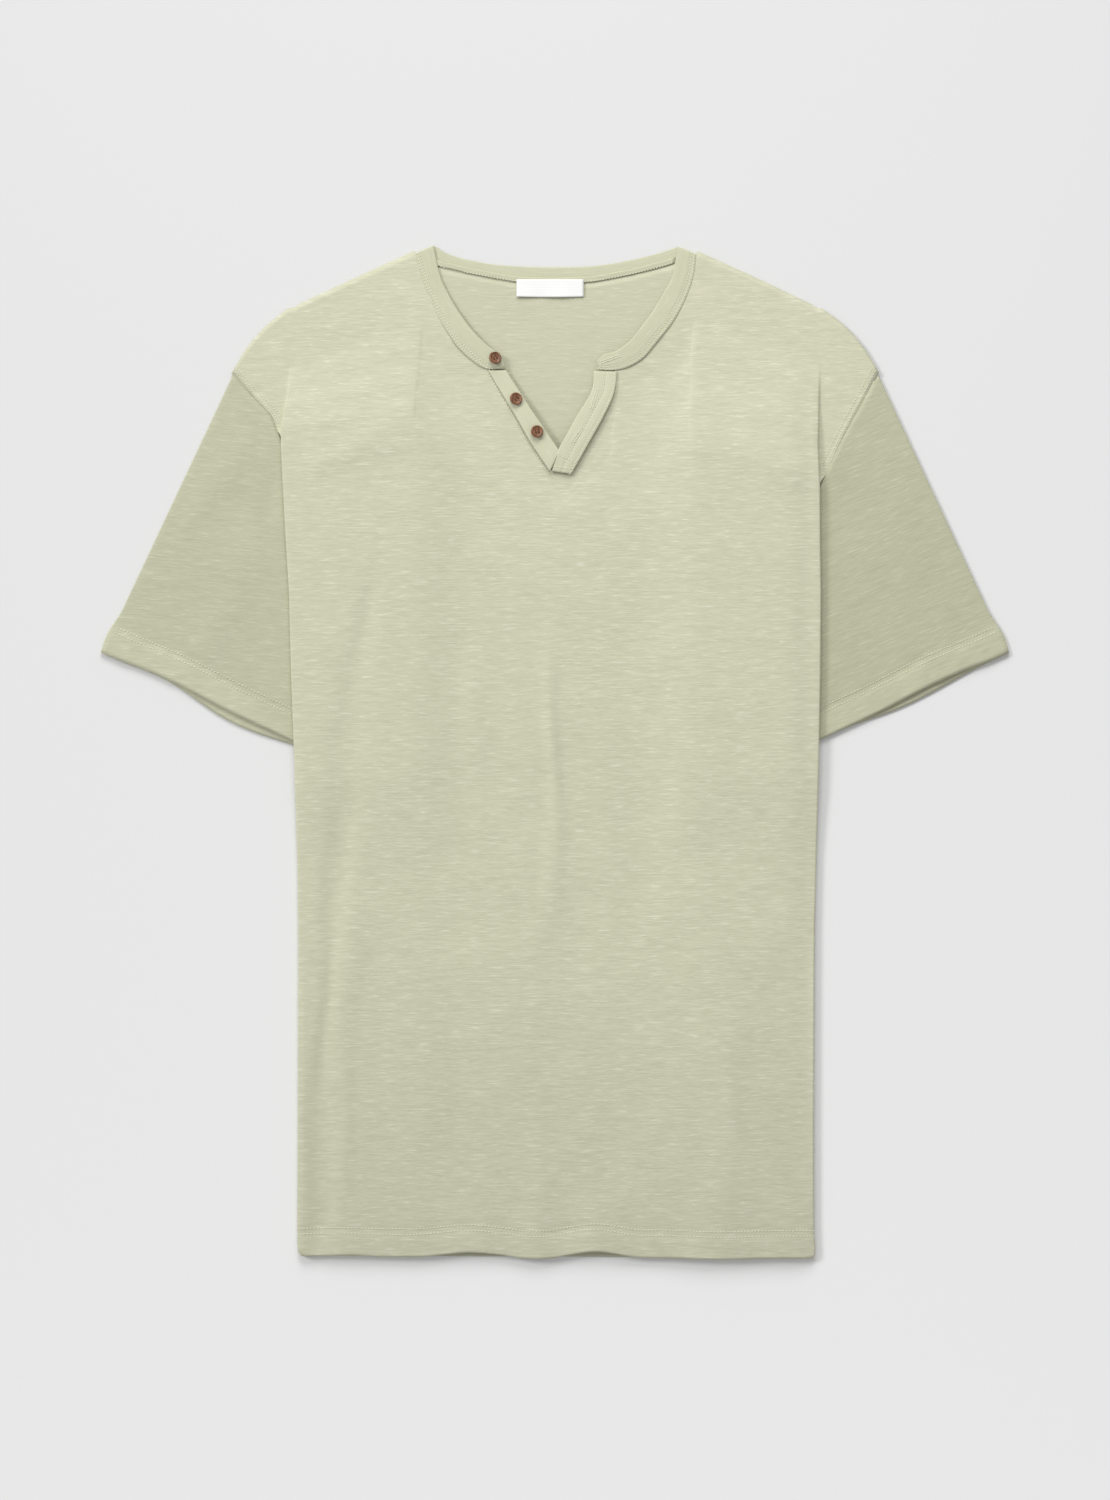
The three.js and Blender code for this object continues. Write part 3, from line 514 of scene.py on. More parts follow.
def jersey(name, base, dark, light, streak=1.0):
    """Slub single jersey: cotton yarn spun thick and thin, so that courses show as broken streaks,
    some 20 mm long and 1 to 2 mm tall. The loops themselves are under a millimetre and are left to
    a fine grain. Combed cotton has a short, soft nap, seen as a weak sheen. Over the doubled cloth of a
    cuff's turned hem the colour is painted paler: painted light. Toward the hem of the body the colour
    is painted a shade darker: painted shade."""
    material, shader = new_material(name, 0.92, sheen=0.12, specular=0.25)
    uv = add_node(material, "ShaderNodeUVMap", uv_map="cloth")
    tones = []
    for across, tall, detail, seed in ((13.0, 1.25, 3.0, 0.0), (7.0, 0.75, 2.0, 31.0),
                                       (45.0, 4.0, 2.0, 57.0)):
        place = add_node(material, "ShaderNodeMapping", {"Vector": uv.outputs[0],
                                                         "Scale": (1 / (across * MM), 1 / (tall * MM), 1.0),
                                                          "Location": (seed, seed * 1.7, 0.0)})
        tones.append(add_node(material, "ShaderNodeTexNoise",
                              {"Vector": place.outputs[0], "Scale": 1.0, "Detail": detail,
                                                              "Roughness": 0.55, "Distortion": 0.35}, noise_dimensions="2D"))
    pair = add_node(material, "ShaderNodeMix", {0: 0.4, 2: tones[0].outputs["Fac"],
                                                3: tones[1].outputs["Fac"]})
    yarn = add_node(material, "ShaderNodeMix", {0: 0.22, 2: pair.outputs[0], 3: tones[2].outputs["Fac"]})
    spread = add_node(material, "ShaderNodeMapRange", {"Value": yarn.outputs[0],
                                                       "From Min": 0.5 - 0.13 / streak,
                                                       "From Max": 0.5 + 0.13 / streak})
    tone = add_node(material, "ShaderNodeMix", {0: spread.outputs[0], 6: linear(dark), 7: linear(base)},
                    data_type="RGBA")
    slub = add_node(material, "ShaderNodeMapRange", {"Value": tones[0].outputs["Fac"], "From Min": 0.62,
                                                     "From Max": 0.80})
    lit = add_node(material, "ShaderNodeMix", {0: slub.outputs[0], 6: tone.outputs[2], 7: linear(light)},
                   data_type="RGBA")
    # Painted light: the colour is painted 12 % paler where the mask marks a cuff's turned hem
    doubled_hem_painted_light = add_node(material, "ShaderNodeAttribute", attribute_name="doubled_hem_painted_light")
    painted_hem_light = add_node(material, "ShaderNodeMix", {0: doubled_hem_painted_light.outputs["Fac"], 6: lit.outputs[2],
                                                 7: (1.12, 1.12, 1.12, 1)},
                     data_type="RGBA", blend_type="MULTIPLY")
    # Painted shade: below the waist the colour is painted up to 8 % darker toward the hem
    axes = add_node(material, "ShaderNodeSeparateXYZ", {0: uv.outputs[0]})
    toward_hem = add_node(material, "ShaderNodeMapRange",
                          {"Value": axes.outputs["Y"], "From Min": -0.14, "From Max": -0.38})
    painted_shade_to_hem = add_node(material, "ShaderNodeMix", {0: toward_hem.outputs[0], 6: painted_hem_light.outputs[2],
                                                  7: (0.92, 0.92, 0.92, 1)},
                      data_type="RGBA", blend_type="MULTIPLY")
    link(material, painted_shade_to_hem.outputs[2], shader, "Base Color")
    loops = add_node(material, "ShaderNodeTexNoise", {"Vector": uv.outputs[0], "Scale": 1300.0,
                                                      "Detail": 1.0},
                     noise_dimensions="2D")
    height = add_node(material, "ShaderNodeMix", {0: 0.3, 2: yarn.outputs[0], 3: loops.outputs["Fac"]})
    bump = add_node(material, "ShaderNodeBump", {"Height": height.outputs[0], "Strength": 0.35,
                                                 "Distance": 0.0009})
    link(material, bump.outputs[0], shader, "Normal")
    return material


body_jersey = jersey("slub_jersey_body", "#d2d1b8", "#c4c4ab", "#dedeca")
inside_jersey = jersey("slub_jersey_inside", "#cccbb2", "#c1c1a8", "#d6d5bf", 0.8)

back_grid = panel_points("back")
cloth_back = cloth_object("cloth_back", back_grid, inside_jersey)
front_grid = panel_points("front")
cloth_front = cloth_object("cloth_front", front_grid, body_jersey, grain=0.6)


for panel, node in ((cloth_back, "back_panel"), (cloth_front, "front_panel")):
    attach(panel, "root")
    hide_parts(node)


# Sleeves
# Each is one piece of the same jersey, folded along its top and seamed under the arm, so that it lies
# as a flat tube. It runs in under the body's side fold to its hidden armhole; the cuff is a turned hem.
HIDDEN_ARMHOLE = {"right": [(199.0, 226.0), (165.0, 165.0), (116.5, 113.9)],
                  "left": [(191.8, 190.6), (160.0, 145.0), (116.5, 113.9)]}
CUFF_OUTER = np.array([330.4, 71.0])
CUFF_INNER = np.array([163.0, -6.5])
# Where the cuff's two layers part: middle and half as shares of the cuff, how far the under layer shows
CUFF_GAP = {"right": (0.60, 0.40, 6.6), "left": (0.38, 0.38, 5.2)}
CUFF_LIFT = 0.5
CUFF_HEM = 19.0
SLEEVE_ROWS = 62
SLEEVE_COLUMNS = 46
TURN = 6
# Creases of a sleeve: along and across shares of the start and the end, half width, height
SLEEVE_CREASES = {"right": [(0.1, 0.16, 0.5, 0.10, 9, 0.6), (0.35, 0.42, 0.9, 0.36, 14, 0.7),
                            (0.0, 0.3, 0.3, 0.42, 10, -0.5)],
                  "left": [(0.08, 0.22, 0.55, 0.16, 10, 0.7), (0.3, 0.4, 0.95, 0.30, 15, 0.7),
                           (0.05, 0.45, 0.4, 0.5, 10, -0.5)]}

# Painted shade: both sleeves are painted darker than the body, the wearer's left one darker than the right, though
# all are the same jersey
sleeve_jersey = {"right": jersey("slub_jersey_right_sleeve", "#c4c4ab", "#b7b79e", "#cfceb7", 0.85),
                 "left": jersey("slub_jersey_left_sleeve", "#bebea4", "#b2b299", "#c9c8b0", 0.85)}


def sleeve_grid(side):
    key = 1 if side == "right" else 2
    seam = [SECTIONS[k][key][2:] for k in range(len(SECTIONS) - 1, FIRST_OPEN - 1, -1)]
    armhole = through(np.array([*seam, *HIDDEN_ARMHOLE[side]]), SLEEVE_COLUMNS)
    share = np.linspace(0, 1, SLEEVE_COLUMNS)
    cuff = CUFF_OUTER * (1 - share[:, None]) + CUFF_INNER * share[:, None]
    cuff[:, 1] += 2.2 * swell(share - 0.3, 0.3)
    way = cuff - armhole
    length = np.linalg.norm(way, axis=1)
    unit = way / length[:, None]
    rings, flows = [], []
    radius = LAYER / 2
    inset = radius + CLOTH / 2
    gap_middle, gap_half, gap_lag = CUFF_GAP[side]
    # Painted light: a mask that is 1 over the cuff's turned hem, where the colour is painted paler
    painted_hem_light = []
    for v in np.linspace(0, 1, SLEEVE_ROWS) ** 0.95:
        opening = swell(share - gap_middle, gap_half) * smooth_step(0.6, 1, v)
        layers = []
        for back in (False, True):
            along = 0.5 * (1 - v) + length * v + (gap_lag * opening if back else 0)
            point = armhole + unit * along[:, None]
            point[:, 0] += 2.8 * swell(v - 0.94, 0.1) * (1 - smooth_step(0, 0.2, share))
            if back:
                z = np.full(SLEEVE_COLUMNS, BACK_LEVEL)
            else:
                z = FRONT_LEVEL + CUFF_LIFT * opening
                from_edge = length * (1 - v)
                shown = smooth_step(0.82, 0.78, share)
                z = z + 0.3 * (1 - smooth_step(CUFF_HEM - 2, CUFF_HEM, from_edge)) * shown
                z = z - 0.35 * np.exp(-(((from_edge - CUFF_HEM) / 1.6) ** 2)) * shown
                for v0, t0, v1, t1, half, tall in SLEEVE_CREASES[side]:
                    centre = t0 + (t1 - t0) * np.clip((v - v0) / (v1 - v0), 0, 1)
                    ends = smooth_step(-0.12, 0.1, v - v0) * smooth_step(-0.12, 0.1, v1 - v)
                    z = z + tall * ends * np.exp(-(((share - centre) * 190 / half) ** 2))
                slack = smooth_step(0, 0.12, share) * (1 - smooth_step(0.34, 0.5, share))
                z = z + slack * np.maximum(-0.3, 0.3 + 0.35 * uneven(point[:, 0], point[:, 1], 60.0, 21))
                hem_zone = (1 - smooth_step(CUFF_HEM, CUFF_HEM + 8, from_edge)) * slack
                z = z + 0.3 * hem_zone * uneven(point[:, 0] * 2, point[:, 1] * 2, 26.0, 23)
            layers.append(np.c_[point, z])
        front, under = layers
        top = front[0, :2] - front[1, :2]
        top /= np.linalg.norm(top)
        low = front[-1, :2] - front[-2, :2]
        low /= np.linalg.norm(low)
        for layer in layers:
            fade_in = np.exp(-share * 60)[:, None]
            layer[:, :2] -= inset * top * fade_in
            layer[:, :2] -= inset * low * fade_in[::-1]

        def turn(centre, direction, upward):
            angles = np.linspace(-1, 1, TURN + 2)[1:-1] * math.pi / 2 * (1 if upward else -1)
            flat = centre[:2] + radius * np.cos(angles)[:, None] * direction
            return np.c_[flat, (BACK_LEVEL + FRONT_LEVEL) / 2 + radius * np.sin(angles)]

        ring = np.vstack([front, turn(front[-1], low, False), under[::-1], turn(front[0], top, True)])
        rings.append(ring)
        painted_hem_light.append(np.full(len(ring), 1 - smooth_step(CUFF_HEM - 1, CUFF_HEM + 1, length[20] * (1 - v))))
    grid, painted_hem_light = np.array(rings)[::-1], np.array(painted_hem_light)[::-1]
    # The painted light is made uneven along the hem
    painted_hem_light = painted_hem_light * (0.7 + 0.4 * uneven(grid[..., 0], grid[..., 1], 70.0, 33))
    if side == "right":
        grid[..., 0] *= -1
        return grid, painted_hem_light
    return grid[:, ::-1], painted_hem_light


GRAIN = {"right": -4.0, "left": 22.0}
sleeves = {}
for side in ("right", "left"):
    grid, painted_hem_light = sleeve_grid(side)
    name = f"cloth_sleeve_{side}"
    sleeves[side] = cloth_object(name, grid, sleeve_jersey[side], grain=GRAIN[side], closed=True,
                                 doubled_hem_painted_light=painted_hem_light)
    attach(sleeves[side], "root")
    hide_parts(f"sleeve_{side}")


# Neckband
# A strip of the same jersey folded double, 14 mm wide, sewn round the neck and topstitched twice. It
# runs from the button end over both shoulders and round the back neck to the buttonhole end.
BAND_WALL = 0.7
BAND_RADIUS = 0.75
BAND_COLUMNS = 19
band_jersey = jersey("slub_jersey_band", "#cbcbb0", "#c3c3a8", "#d0d0b8", 0.7)


def strip_grid(rows, crown, level, grooves=()):
    """A strip folded double between two edges, fuller along its middle, drawn in along its stitching."""
    grid = []
    t = np.linspace(0, 1, BAND_COLUMNS)
    for row, z in zip(rows, level):
        x = row[0] * (1 - t) + row[2] * t
        y = row[1] * (1 - t) + row[3] * t
        form = crown * np.sin(np.pi * t) ** 0.6
        for place in grooves:
            form = form - 0.3 * np.exp(-(((t - place) / 0.06) ** 2))
        grid.append(np.c_[x, y, z + form])
    return np.array(grid)


def along_flow(grid):
    """UV that runs along a strip: u along it, v across it."""
    middle = grid[:, grid.shape[1] // 2]
    run = np.r_[0, np.cumsum(np.linalg.norm(np.diff(middle, axis=0), axis=1))]
    across = np.r_[0, np.cumsum(np.linalg.norm(np.diff(grid[0], axis=0), axis=1))]
    return np.stack([np.repeat(run[:, None], len(across), 1), np.repeat(across[None, :], len(run), 0)],
                    axis=-1)


back_z = 0.6
over_z = back_z + 2 * BAND_RADIUS
front_z = FRONT_LEVEL + 0.8
band_right = through([row[:4] for row in NECKBAND[:8]], 54, 0.9)
band_back = through([row[:4] for row in NECKBAND[8:17]], 60)
band_left = through([row[:4] for row in NECKBAND[17:]], 54, 0.9)


def neck_level(x, y):
    """Where a strip lies on the front's edge."""
    return front_z + PUFF * (1 - smooth_step(225, 285, y)) + front_relief(x, y)


def band_level_on(rows):
    """The band's height along its front part: over the front's edge, down to the back at the shoulder."""
    middle = (rows[:, :2] + rows[:, 2:4]) / 2
    to_back = smooth_step(300, 352, middle[:, 1])
    return neck_level(middle[:, 0], middle[:, 1]) * (1 - to_back) + over_z * to_back


rise_right, rise_left = band_level_on(band_right), band_level_on(band_left)
turn_angles = np.radians(np.linspace(0, 180, 9))


def shoulder_turn(row, angles):
    turned = np.repeat(row[None, :], len(angles), 0)
    turned[:, [1, 3]] += (BAND_RADIUS * np.sin(angles))[:, None]
    return turned, back_z + BAND_RADIUS * (1 + np.cos(angles))


turn_right, turn_right_z = shoulder_turn(band_right[-1], turn_angles[1:])
turn_left, turn_left_z = shoulder_turn(band_left[0], turn_angles[::-1][:-1])
band_rows = np.vstack([band_right, turn_right, band_back, turn_left, band_left])
band_level = np.r_[rise_right, turn_right_z, np.full(len(band_back), back_z), turn_left_z, rise_left]
band_crown = 0.25
band_grid = strip_grid(band_rows, band_crown, band_level, grooves=(0.09, 0.25))[:, ::-1]
cloth_neckband = cloth_object("cloth_neckband", band_grid, band_jersey, wall=BAND_WALL,
                              flow=along_flow(band_grid))
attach(cloth_neckband, "root")
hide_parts("neckband")


# Plackets
# Two doubled strips of jersey that face the neck slit. The button side lies smooth; the buttonhole side
# is wider and topstitched, and both end in a stitched point below the slit.
placket_jersey = jersey("slub_jersey_placket", "#d0d0b5", "#c8c8ae", "#d4d4bc", 0.6)


def placket_grid(rows, bow, grooves=()):
    rows = through([row[:4] for row in rows], 60)
    t = np.linspace(0, 1, len(rows))
    middle = (rows[:, :2] + rows[:, 2:4]) / 2
    slack = bow * np.sin(np.pi * t) * (1 - 0.2 * np.cos(6 * t))
    level = neck_level(middle[:, 0], middle[:, 1]) - 0.05 + slack
    return strip_grid(rows, 0.15, level, grooves)


button_side = placket_grid(BUTTON_PLACKET, 0.1)[::-1]
buttonhole_side = placket_grid(BUTTONHOLE_PLACKET, 0.4, grooves=(0.1, 0.5))[::-1, ::-1]
plackets = []
for name, grid, node in (("cloth_placket_buttons", button_side, "placket_buttons"),
                         ("cloth_placket_buttonholes", buttonhole_side, "placket_buttonholes")):
    placket = cloth_object(name, grid, placket_jersey, wall=BAND_WALL, flow=along_flow(grid))
    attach(placket, "root")
    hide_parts(node)
    plackets.append(placket)


# Neck tape and label
# A narrow jersey tape covers the back neck seam inside. The label is a white woven satin ribbon, caught
# under the tape at its top edge; its lower edge lifts. It carries no words.
TAPE_WIDTH = 4.0
LABEL_WIDTH, LABEL_TALL, LABEL_MIDDLE = 49.0, 12.6, -3.6

tape_x = np.linspace(-87, 87, 88)
tape_low = np.interp(tape_x, back_neck[:, 0], back_neck[:, 1]) + 0.9
tape_grid = np.array([np.c_[tape_x, tape_low + TAPE_WIDTH * t,
                            np.full_like(tape_x, 1.5 + 0.3 * math.sin(math.pi * t / 2))]
                      for t in np.linspace(0, 1, 6)])
tape = cloth_object("cloth_neck_tape", tape_grid, band_jersey, wall=0.4, flow=tape_grid[..., :2])
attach(tape, "root")
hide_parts("neck_tape")

# Woven satin: fine, smooth, with a faint rib of the weft
satin, satin_shader = new_material("woven_satin_ribbon", 0.55, sheen=0.05, specular=0.4)
satin_uv = add_node(satin, "ShaderNodeUVMap", uv_map="cloth")
weft = add_node(satin, "ShaderNodeTexWave", {"Vector": satin_uv.outputs[0], "Scale": 260.0,
                                             "Distortion": 0.3},
                bands_direction="Y")
satin_tone = add_node(satin, "ShaderNodeMix", {0: weft.outputs["Fac"], 6: linear("#f0f0ee"),
                                               7: linear("#f6f6f4")},
                      data_type="RGBA")
link(satin, satin_tone.outputs[2], satin_shader, "Base Color")
weft_bump = add_node(satin, "ShaderNodeBump", {"Height": weft.outputs["Fac"], "Strength": 0.15,
                                               "Distance": 0.0002})
link(satin, weft_bump.outputs[0], satin_shader, "Normal")

label_rows = []
for t in np.linspace(1, 0, 14):
    s = np.linspace(-0.5, 0.5, 30)
    x = LABEL_MIDDLE + LABEL_WIDTH * s
    y = 343.3 - LABEL_TALL * t - 0.4 * (1 - 4 * s * s) * t
    z = 2.25 - 0.25 * t + (0.25 + 0.35 * np.sin(3.4 * np.pi * s)) * t ** 2
    label_rows.append(np.c_[x, y, z])
label_grid = np.array(label_rows)
label = cloth_object("woven_label", label_grid, satin, wall=0.35, flow=label_grid[..., :2])
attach(label, "root")
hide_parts("neck_label")


# Buttons
# Three turned coconut-shell buttons of 9 mm with a raised rim and four holes, sewn through with two
# bars of thread. They stay sewn to the button placket, one of them on the neckband's end.
BUTTONS = [(-43.8, 285.4, 24.0, (-12.0, 14.0)), (-28.6, 255.6, 52.0, (-10.0, 15.0)),
           (-13.3, 231.6, 12.0, (-9.0, 13.0))]
BUTTON_PROFILE = [(0.0, 0.0), (3.2, 0.0), (4.2, 0.35), (4.6, 0.9), (4.62, 1.3), (4.35, 1.75), (3.9, 1.95),
                  (3.5, 1.8), (3.2, 1.45), (2.6, 1.3), (0.0, 1.25)]
BUTTON_SIDES = 48
HOLE_RADIUS, HOLE_OFFSET = 0.55, 1.05
BUTTON_SEAT = 1.4  # above the cloth under the button

# Coconut shell: hard, brown, streaked with paler fibres and dark flecks, polished to a dull shine
shell, shell_shader = new_material("turned_coconut_shell", 0.42, specular=0.5)
shell_place = add_node(shell, "ShaderNodeTexCoord")
fibre_place = add_node(shell, "ShaderNodeMapping", {"Vector": shell_place.outputs["Object"],
                                                    "Scale": (900.0, 260.0, 500.0),
                                                    "Rotation": (0.0, 0.0, 0.6)})
fibre = add_node(shell, "ShaderNodeTexNoise", {"Vector": fibre_place.outputs[0], "Scale": 1.0,
                                               "Detail": 4.0, "Roughness": 0.65})
shell_tone = add_node(shell, "ShaderNodeValToRGB", {"Fac": fibre.outputs["Fac"]})
shell_tone.color_ramp.elements[0].position = 0.32
shell_tone.color_ramp.elements[0].color = linear("#4d2c1b")
shell_tone.color_ramp.elements[1].position = 0.68
shell_tone.color_ramp.elements[1].color = linear("#9c6b49")
link(shell, shell_tone.outputs[0], shell_shader, "Base Color")
shell_bump = add_node(shell, "ShaderNodeBump", {"Height": fibre.outputs["Fac"], "Strength": 0.3,
                                                "Distance": 0.0002})
link(shell, shell_bump.outputs[0], shell_shader, "Normal")

# Spun polyester thread: pale, matt, a little furry
thread, thread_shader = new_material("spun_sewing_thread", 0.8, sheen=0.1, specular=0.3)
thread_place = add_node(thread, "ShaderNodeTexCoord")
thread_noise = add_node(thread, "ShaderNodeTexNoise", {"Vector": thread_place.outputs["Object"],
                                                       "Scale": 900.0})
thread_tone = add_node(thread, "ShaderNodeMix", {0: thread_noise.outputs["Fac"], 6: linear("#dcdbc4"),
                                                 7: linear("#eeedda")},
                       data_type="RGBA")
link(thread, thread_tone.outputs[2], thread_shader, "Base Color")


# Waxed thread of the button's own colour
brown_thread, brown_shader = new_material("waxed_brown_thread", 0.6, specular=0.4)
brown_shader.inputs["Base Color"].default_value = linear("#6f4433")


def turned_form(profile, sides):
    """A closed solid turned about Z, in millimetres."""
    form = bmesh.new()
    rings = []
    for radius, height in profile:
        if radius == 0:
            rings.append([form.verts.new((0, 0, height))])
        else:
            rings.append([form.verts.new((radius * math.cos(2 * math.pi * k / sides),
                                          radius * math.sin(2 * math.pi * k / sides), height)) for k in range(sides)])
    for lower, upper in zip(rings, rings[1:]):
        for k in range(sides):
            n = (k + 1) % sides
            if len(lower) == 1:
                form.faces.new((lower[0], upper[n], upper[k]))
            elif len(upper) == 1:
                form.faces.new((lower[k], lower[n], upper[0]))
            else:
                form.faces.new((lower[k], lower[n], upper[n], upper[k]))
    bmesh.ops.recalc_face_normals(form, faces=form.faces)
    return form


def mesh_from(form, name):
    mesh = bpy.data.meshes.new(name)
    form.to_mesh(mesh)
    form.free()
    return mesh


def button_blank():
    """The turned button with its four holes cut through."""
    blank = stage_object("button_blank", mesh_from(turned_form(BUTTON_PROFILE, BUTTON_SIDES), "button_blank"))
    drill_form = bmesh.new()
    for sx, sy in ((1, 1), (-1, 1), (-1, -1), (1, -1)):
        hole = bmesh.ops.create_cone(drill_form, cap_ends=True, segments=16, radius1=HOLE_RADIUS,
                                     radius2=HOLE_RADIUS, depth=6.0)
        bmesh.ops.translate(drill_form, verts=hole["verts"], vec=(sx * HOLE_OFFSET, sy * HOLE_OFFSET, 1.0))
    drill = stage_object("button_drill", mesh_from(drill_form, "button_drill"))
    cut = blank.modifiers.new("holes", "BOOLEAN")
    cut.operation = "DIFFERENCE"
    cut.object = drill
    cut.solver = "EXACT"
    ready = blank.evaluated_get(bpy.context.evaluated_depsgraph_get())
    mesh = bpy.data.meshes.new_from_object(ready)
    bpy.data.objects.remove(blank)
    bpy.data.objects.remove(drill)
    return mesh


def thread_bars():
    """Two bars of thread across the button's face, from hole to hole."""
    form = bmesh.new()
    for sx in (1, -1):
        for shift in (-0.16, 0.16):
            steps = 14
            rings = []
            for k in range(steps + 1):
                t = k / steps
                y = HOLE_OFFSET * (2 * t - 1)
                z = 1.05 + 0.55 * math.sin(math.pi * t) ** 0.5
                ring = [form.verts.new((sx * HOLE_OFFSET + shift + 0.17 * math.cos(a), y,
                                        z + 0.17 * math.sin(a)))
                        for a in (2 * math.pi * n / 8 for n in range(8))]
                rings.append(ring)
            for lower, upper in zip(rings, rings[1:]):
                for n in range(8):
                    form.faces.new((lower[n], lower[(n + 1) % 8], upper[(n + 1) % 8], upper[n]))
            form.faces.new(rings[0][::-1])
            form.faces.new(rings[-1])
    bmesh.ops.recalc_face_normals(form, faces=form.faces)
    return mesh_from(form, "thread_bars")


blank_mesh = button_blank()
bars_mesh = thread_bars()
for number, (x, y, spin, (tip_x, tip_y)) in enumerate(BUTTONS, 1):
    turned = Euler((0, 0, math.radians(spin))).to_matrix()
    tilt = Euler((math.radians(tip_x), math.radians(tip_y), 0)).to_matrix() @ turned
    seat = float(neck_level(np.array([x]), np.array([y]))[0]) + BUTTON_SEAT
    place = Matrix.Translation((x * MM, y * MM, seat * MM)) @ Matrix.Scale(MM, 4) @ tilt.to_4x4()
    for kind, source, finish, slot_name in ((f"shell_button_{number}", blank_mesh, shell, "button"),
                                            (f"button_thread_{number}", bars_mesh, brown_thread, "trim")):
        mesh = source.copy()
        mesh.transform(place)
        mesh.polygons.foreach_set("use_smooth", [True] * len(mesh.polygons))
        mesh.set_sharp_from_angle(angle=math.radians(40))
        mesh.materials.clear()
        mesh.materials.append(finish)
        piece = stage_object(kind, mesh)
        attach(piece, "root")
        if finish is shell:
            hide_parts(f"button_{number}")


# Sewing
# Lockstitch and twin-needle rows in pale thread: hems and cuffs 19 mm up from the edge, both edges of
# the neckband's seam, the plackets' borders, the armholes, and bar-tacked buttonholes.
STITCH_PITCH = 2.5
STITCH_LENGTH = 1.8
STITCH_WIDTH = 0.66


def stitch_tree():
    """Stitches set along edges: pitch, length, width and seed are its inputs."""
    tree = bpy.data.node_groups.new("stitch_row", "GeometryNodeTree")
    tree.interface.new_socket("Geometry", in_out="INPUT", socket_type="NodeSocketGeometry")
    for label_text, value in (("Pitch", STITCH_PITCH * MM), ("Length", STITCH_LENGTH * MM),
                              ("Width", STITCH_WIDTH * MM)):
        tree.interface.new_socket(label_text, in_out="INPUT",
                                  socket_type="NodeSocketFloat").default_value = value
    tree.interface.new_socket("Seed", in_out="INPUT", socket_type="NodeSocketInt").default_value = 4
    tree.interface.new_socket("Finish", in_out="INPUT", socket_type="NodeSocketMaterial")
    tree.interface.new_socket("Geometry", in_out="OUTPUT", socket_type="NodeSocketGeometry")

    def part(kind, **settings):
        node = tree.nodes.new(kind)
        for key, value in settings.items():
            setattr(node, key, value)
        return node

    given = part("NodeGroupInput")
    result = part("NodeGroupOutput")
    curve = part("GeometryNodeMeshToCurve")
    even = part("GeometryNodeResampleCurve", mode="LENGTH")
    bead = part("GeometryNodeMeshUVSphere")
    bead.inputs["Segments"].default_value = 6
    bead.inputs["Rings"].default_value = 4
    bead.inputs["Radius"].default_value = 0.5
    size = part("ShaderNodeCombineXYZ")
    shaped = part("GeometryNodeTransform")
    tangent = part("GeometryNodeInputTangent")
    align = part("FunctionNodeAlignRotationToVector", axis="X", pivot_axis="Z")
    vary = part("FunctionNodeRandomValue", data_type="FLOAT_VECTOR")
    vary.inputs["Min"].default_value = (0.82, 0.9, 0.9)
    vary.inputs["Max"].default_value = (1.08, 1.1, 1.1)
    place = part("GeometryNodeInstanceOnPoints")
    real = part("GeometryNodeRealizeInstances")
    finish = part("GeometryNodeSetMaterial")
    join = tree.links.new
    join(given.outputs["Geometry"], curve.inputs["Mesh"])
    join(curve.outputs["Curve"], even.inputs["Curve"])
    join(given.outputs["Pitch"], even.inputs["Length"])
    join(given.outputs["Length"], size.inputs["X"])
    join(given.outputs["Width"], size.inputs["Y"])
    join(given.outputs["Width"], size.inputs["Z"])
    join(bead.outputs["Mesh"], shaped.inputs["Geometry"])
    join(size.outputs["Vector"], shaped.inputs["Scale"])
    join(tangent.outputs["Tangent"], align.inputs["Vector"])
    join(even.outputs["Curve"], place.inputs["Points"])
    join(shaped.outputs["Geometry"], place.inputs["Instance"])
    join(align.outputs["Rotation"], place.inputs["Rotation"])
    join(given.outputs["Seed"], vary.inputs["Seed"])
    join(vary.outputs["Value"], place.inputs["Scale"])
    join(place.outputs["Instances"], real.inputs["Geometry"])
    join(real.outputs["Geometry"], finish.inputs["Geometry"])
    join(given.outputs["Finish"], finish.inputs["Material"])
    join(finish.outputs["Geometry"], result.inputs["Geometry"])
    return tree


stitches = stitch_tree()
socket_of = {item.name: item.identifier for item in stitches.interface.items_tree if item.in_out == "INPUT"}
graph = bpy.context.evaluated_depsgraph_get()
surface_trees = {}


def surface(thing):
    if thing.name not in surface_trees:
        surface_trees[thing.name] = BVHTree.FromObject(thing, graph)
    return surface_trees[thing.name]


def laid_on(path, things, below=False):
    """A plan path dropped onto cloth from above, or raised onto it from below."""
    start, way = (-20.0, 1.0) if below else (60.0, -1.0)
    found = []
    for x, y in path:
        best = None
        for thing in things:
            hit = surface(thing).ray_cast(Vector((x * MM, y * MM, start * MM)), Vector((0, 0, way)))[0]
            if hit is not None and (best is None or (hit.z - best.z) * way < 0):
                best = hit
        if best is not None:
            found.append((best.x, best.y, best.z - way * 0.00012))
    return found


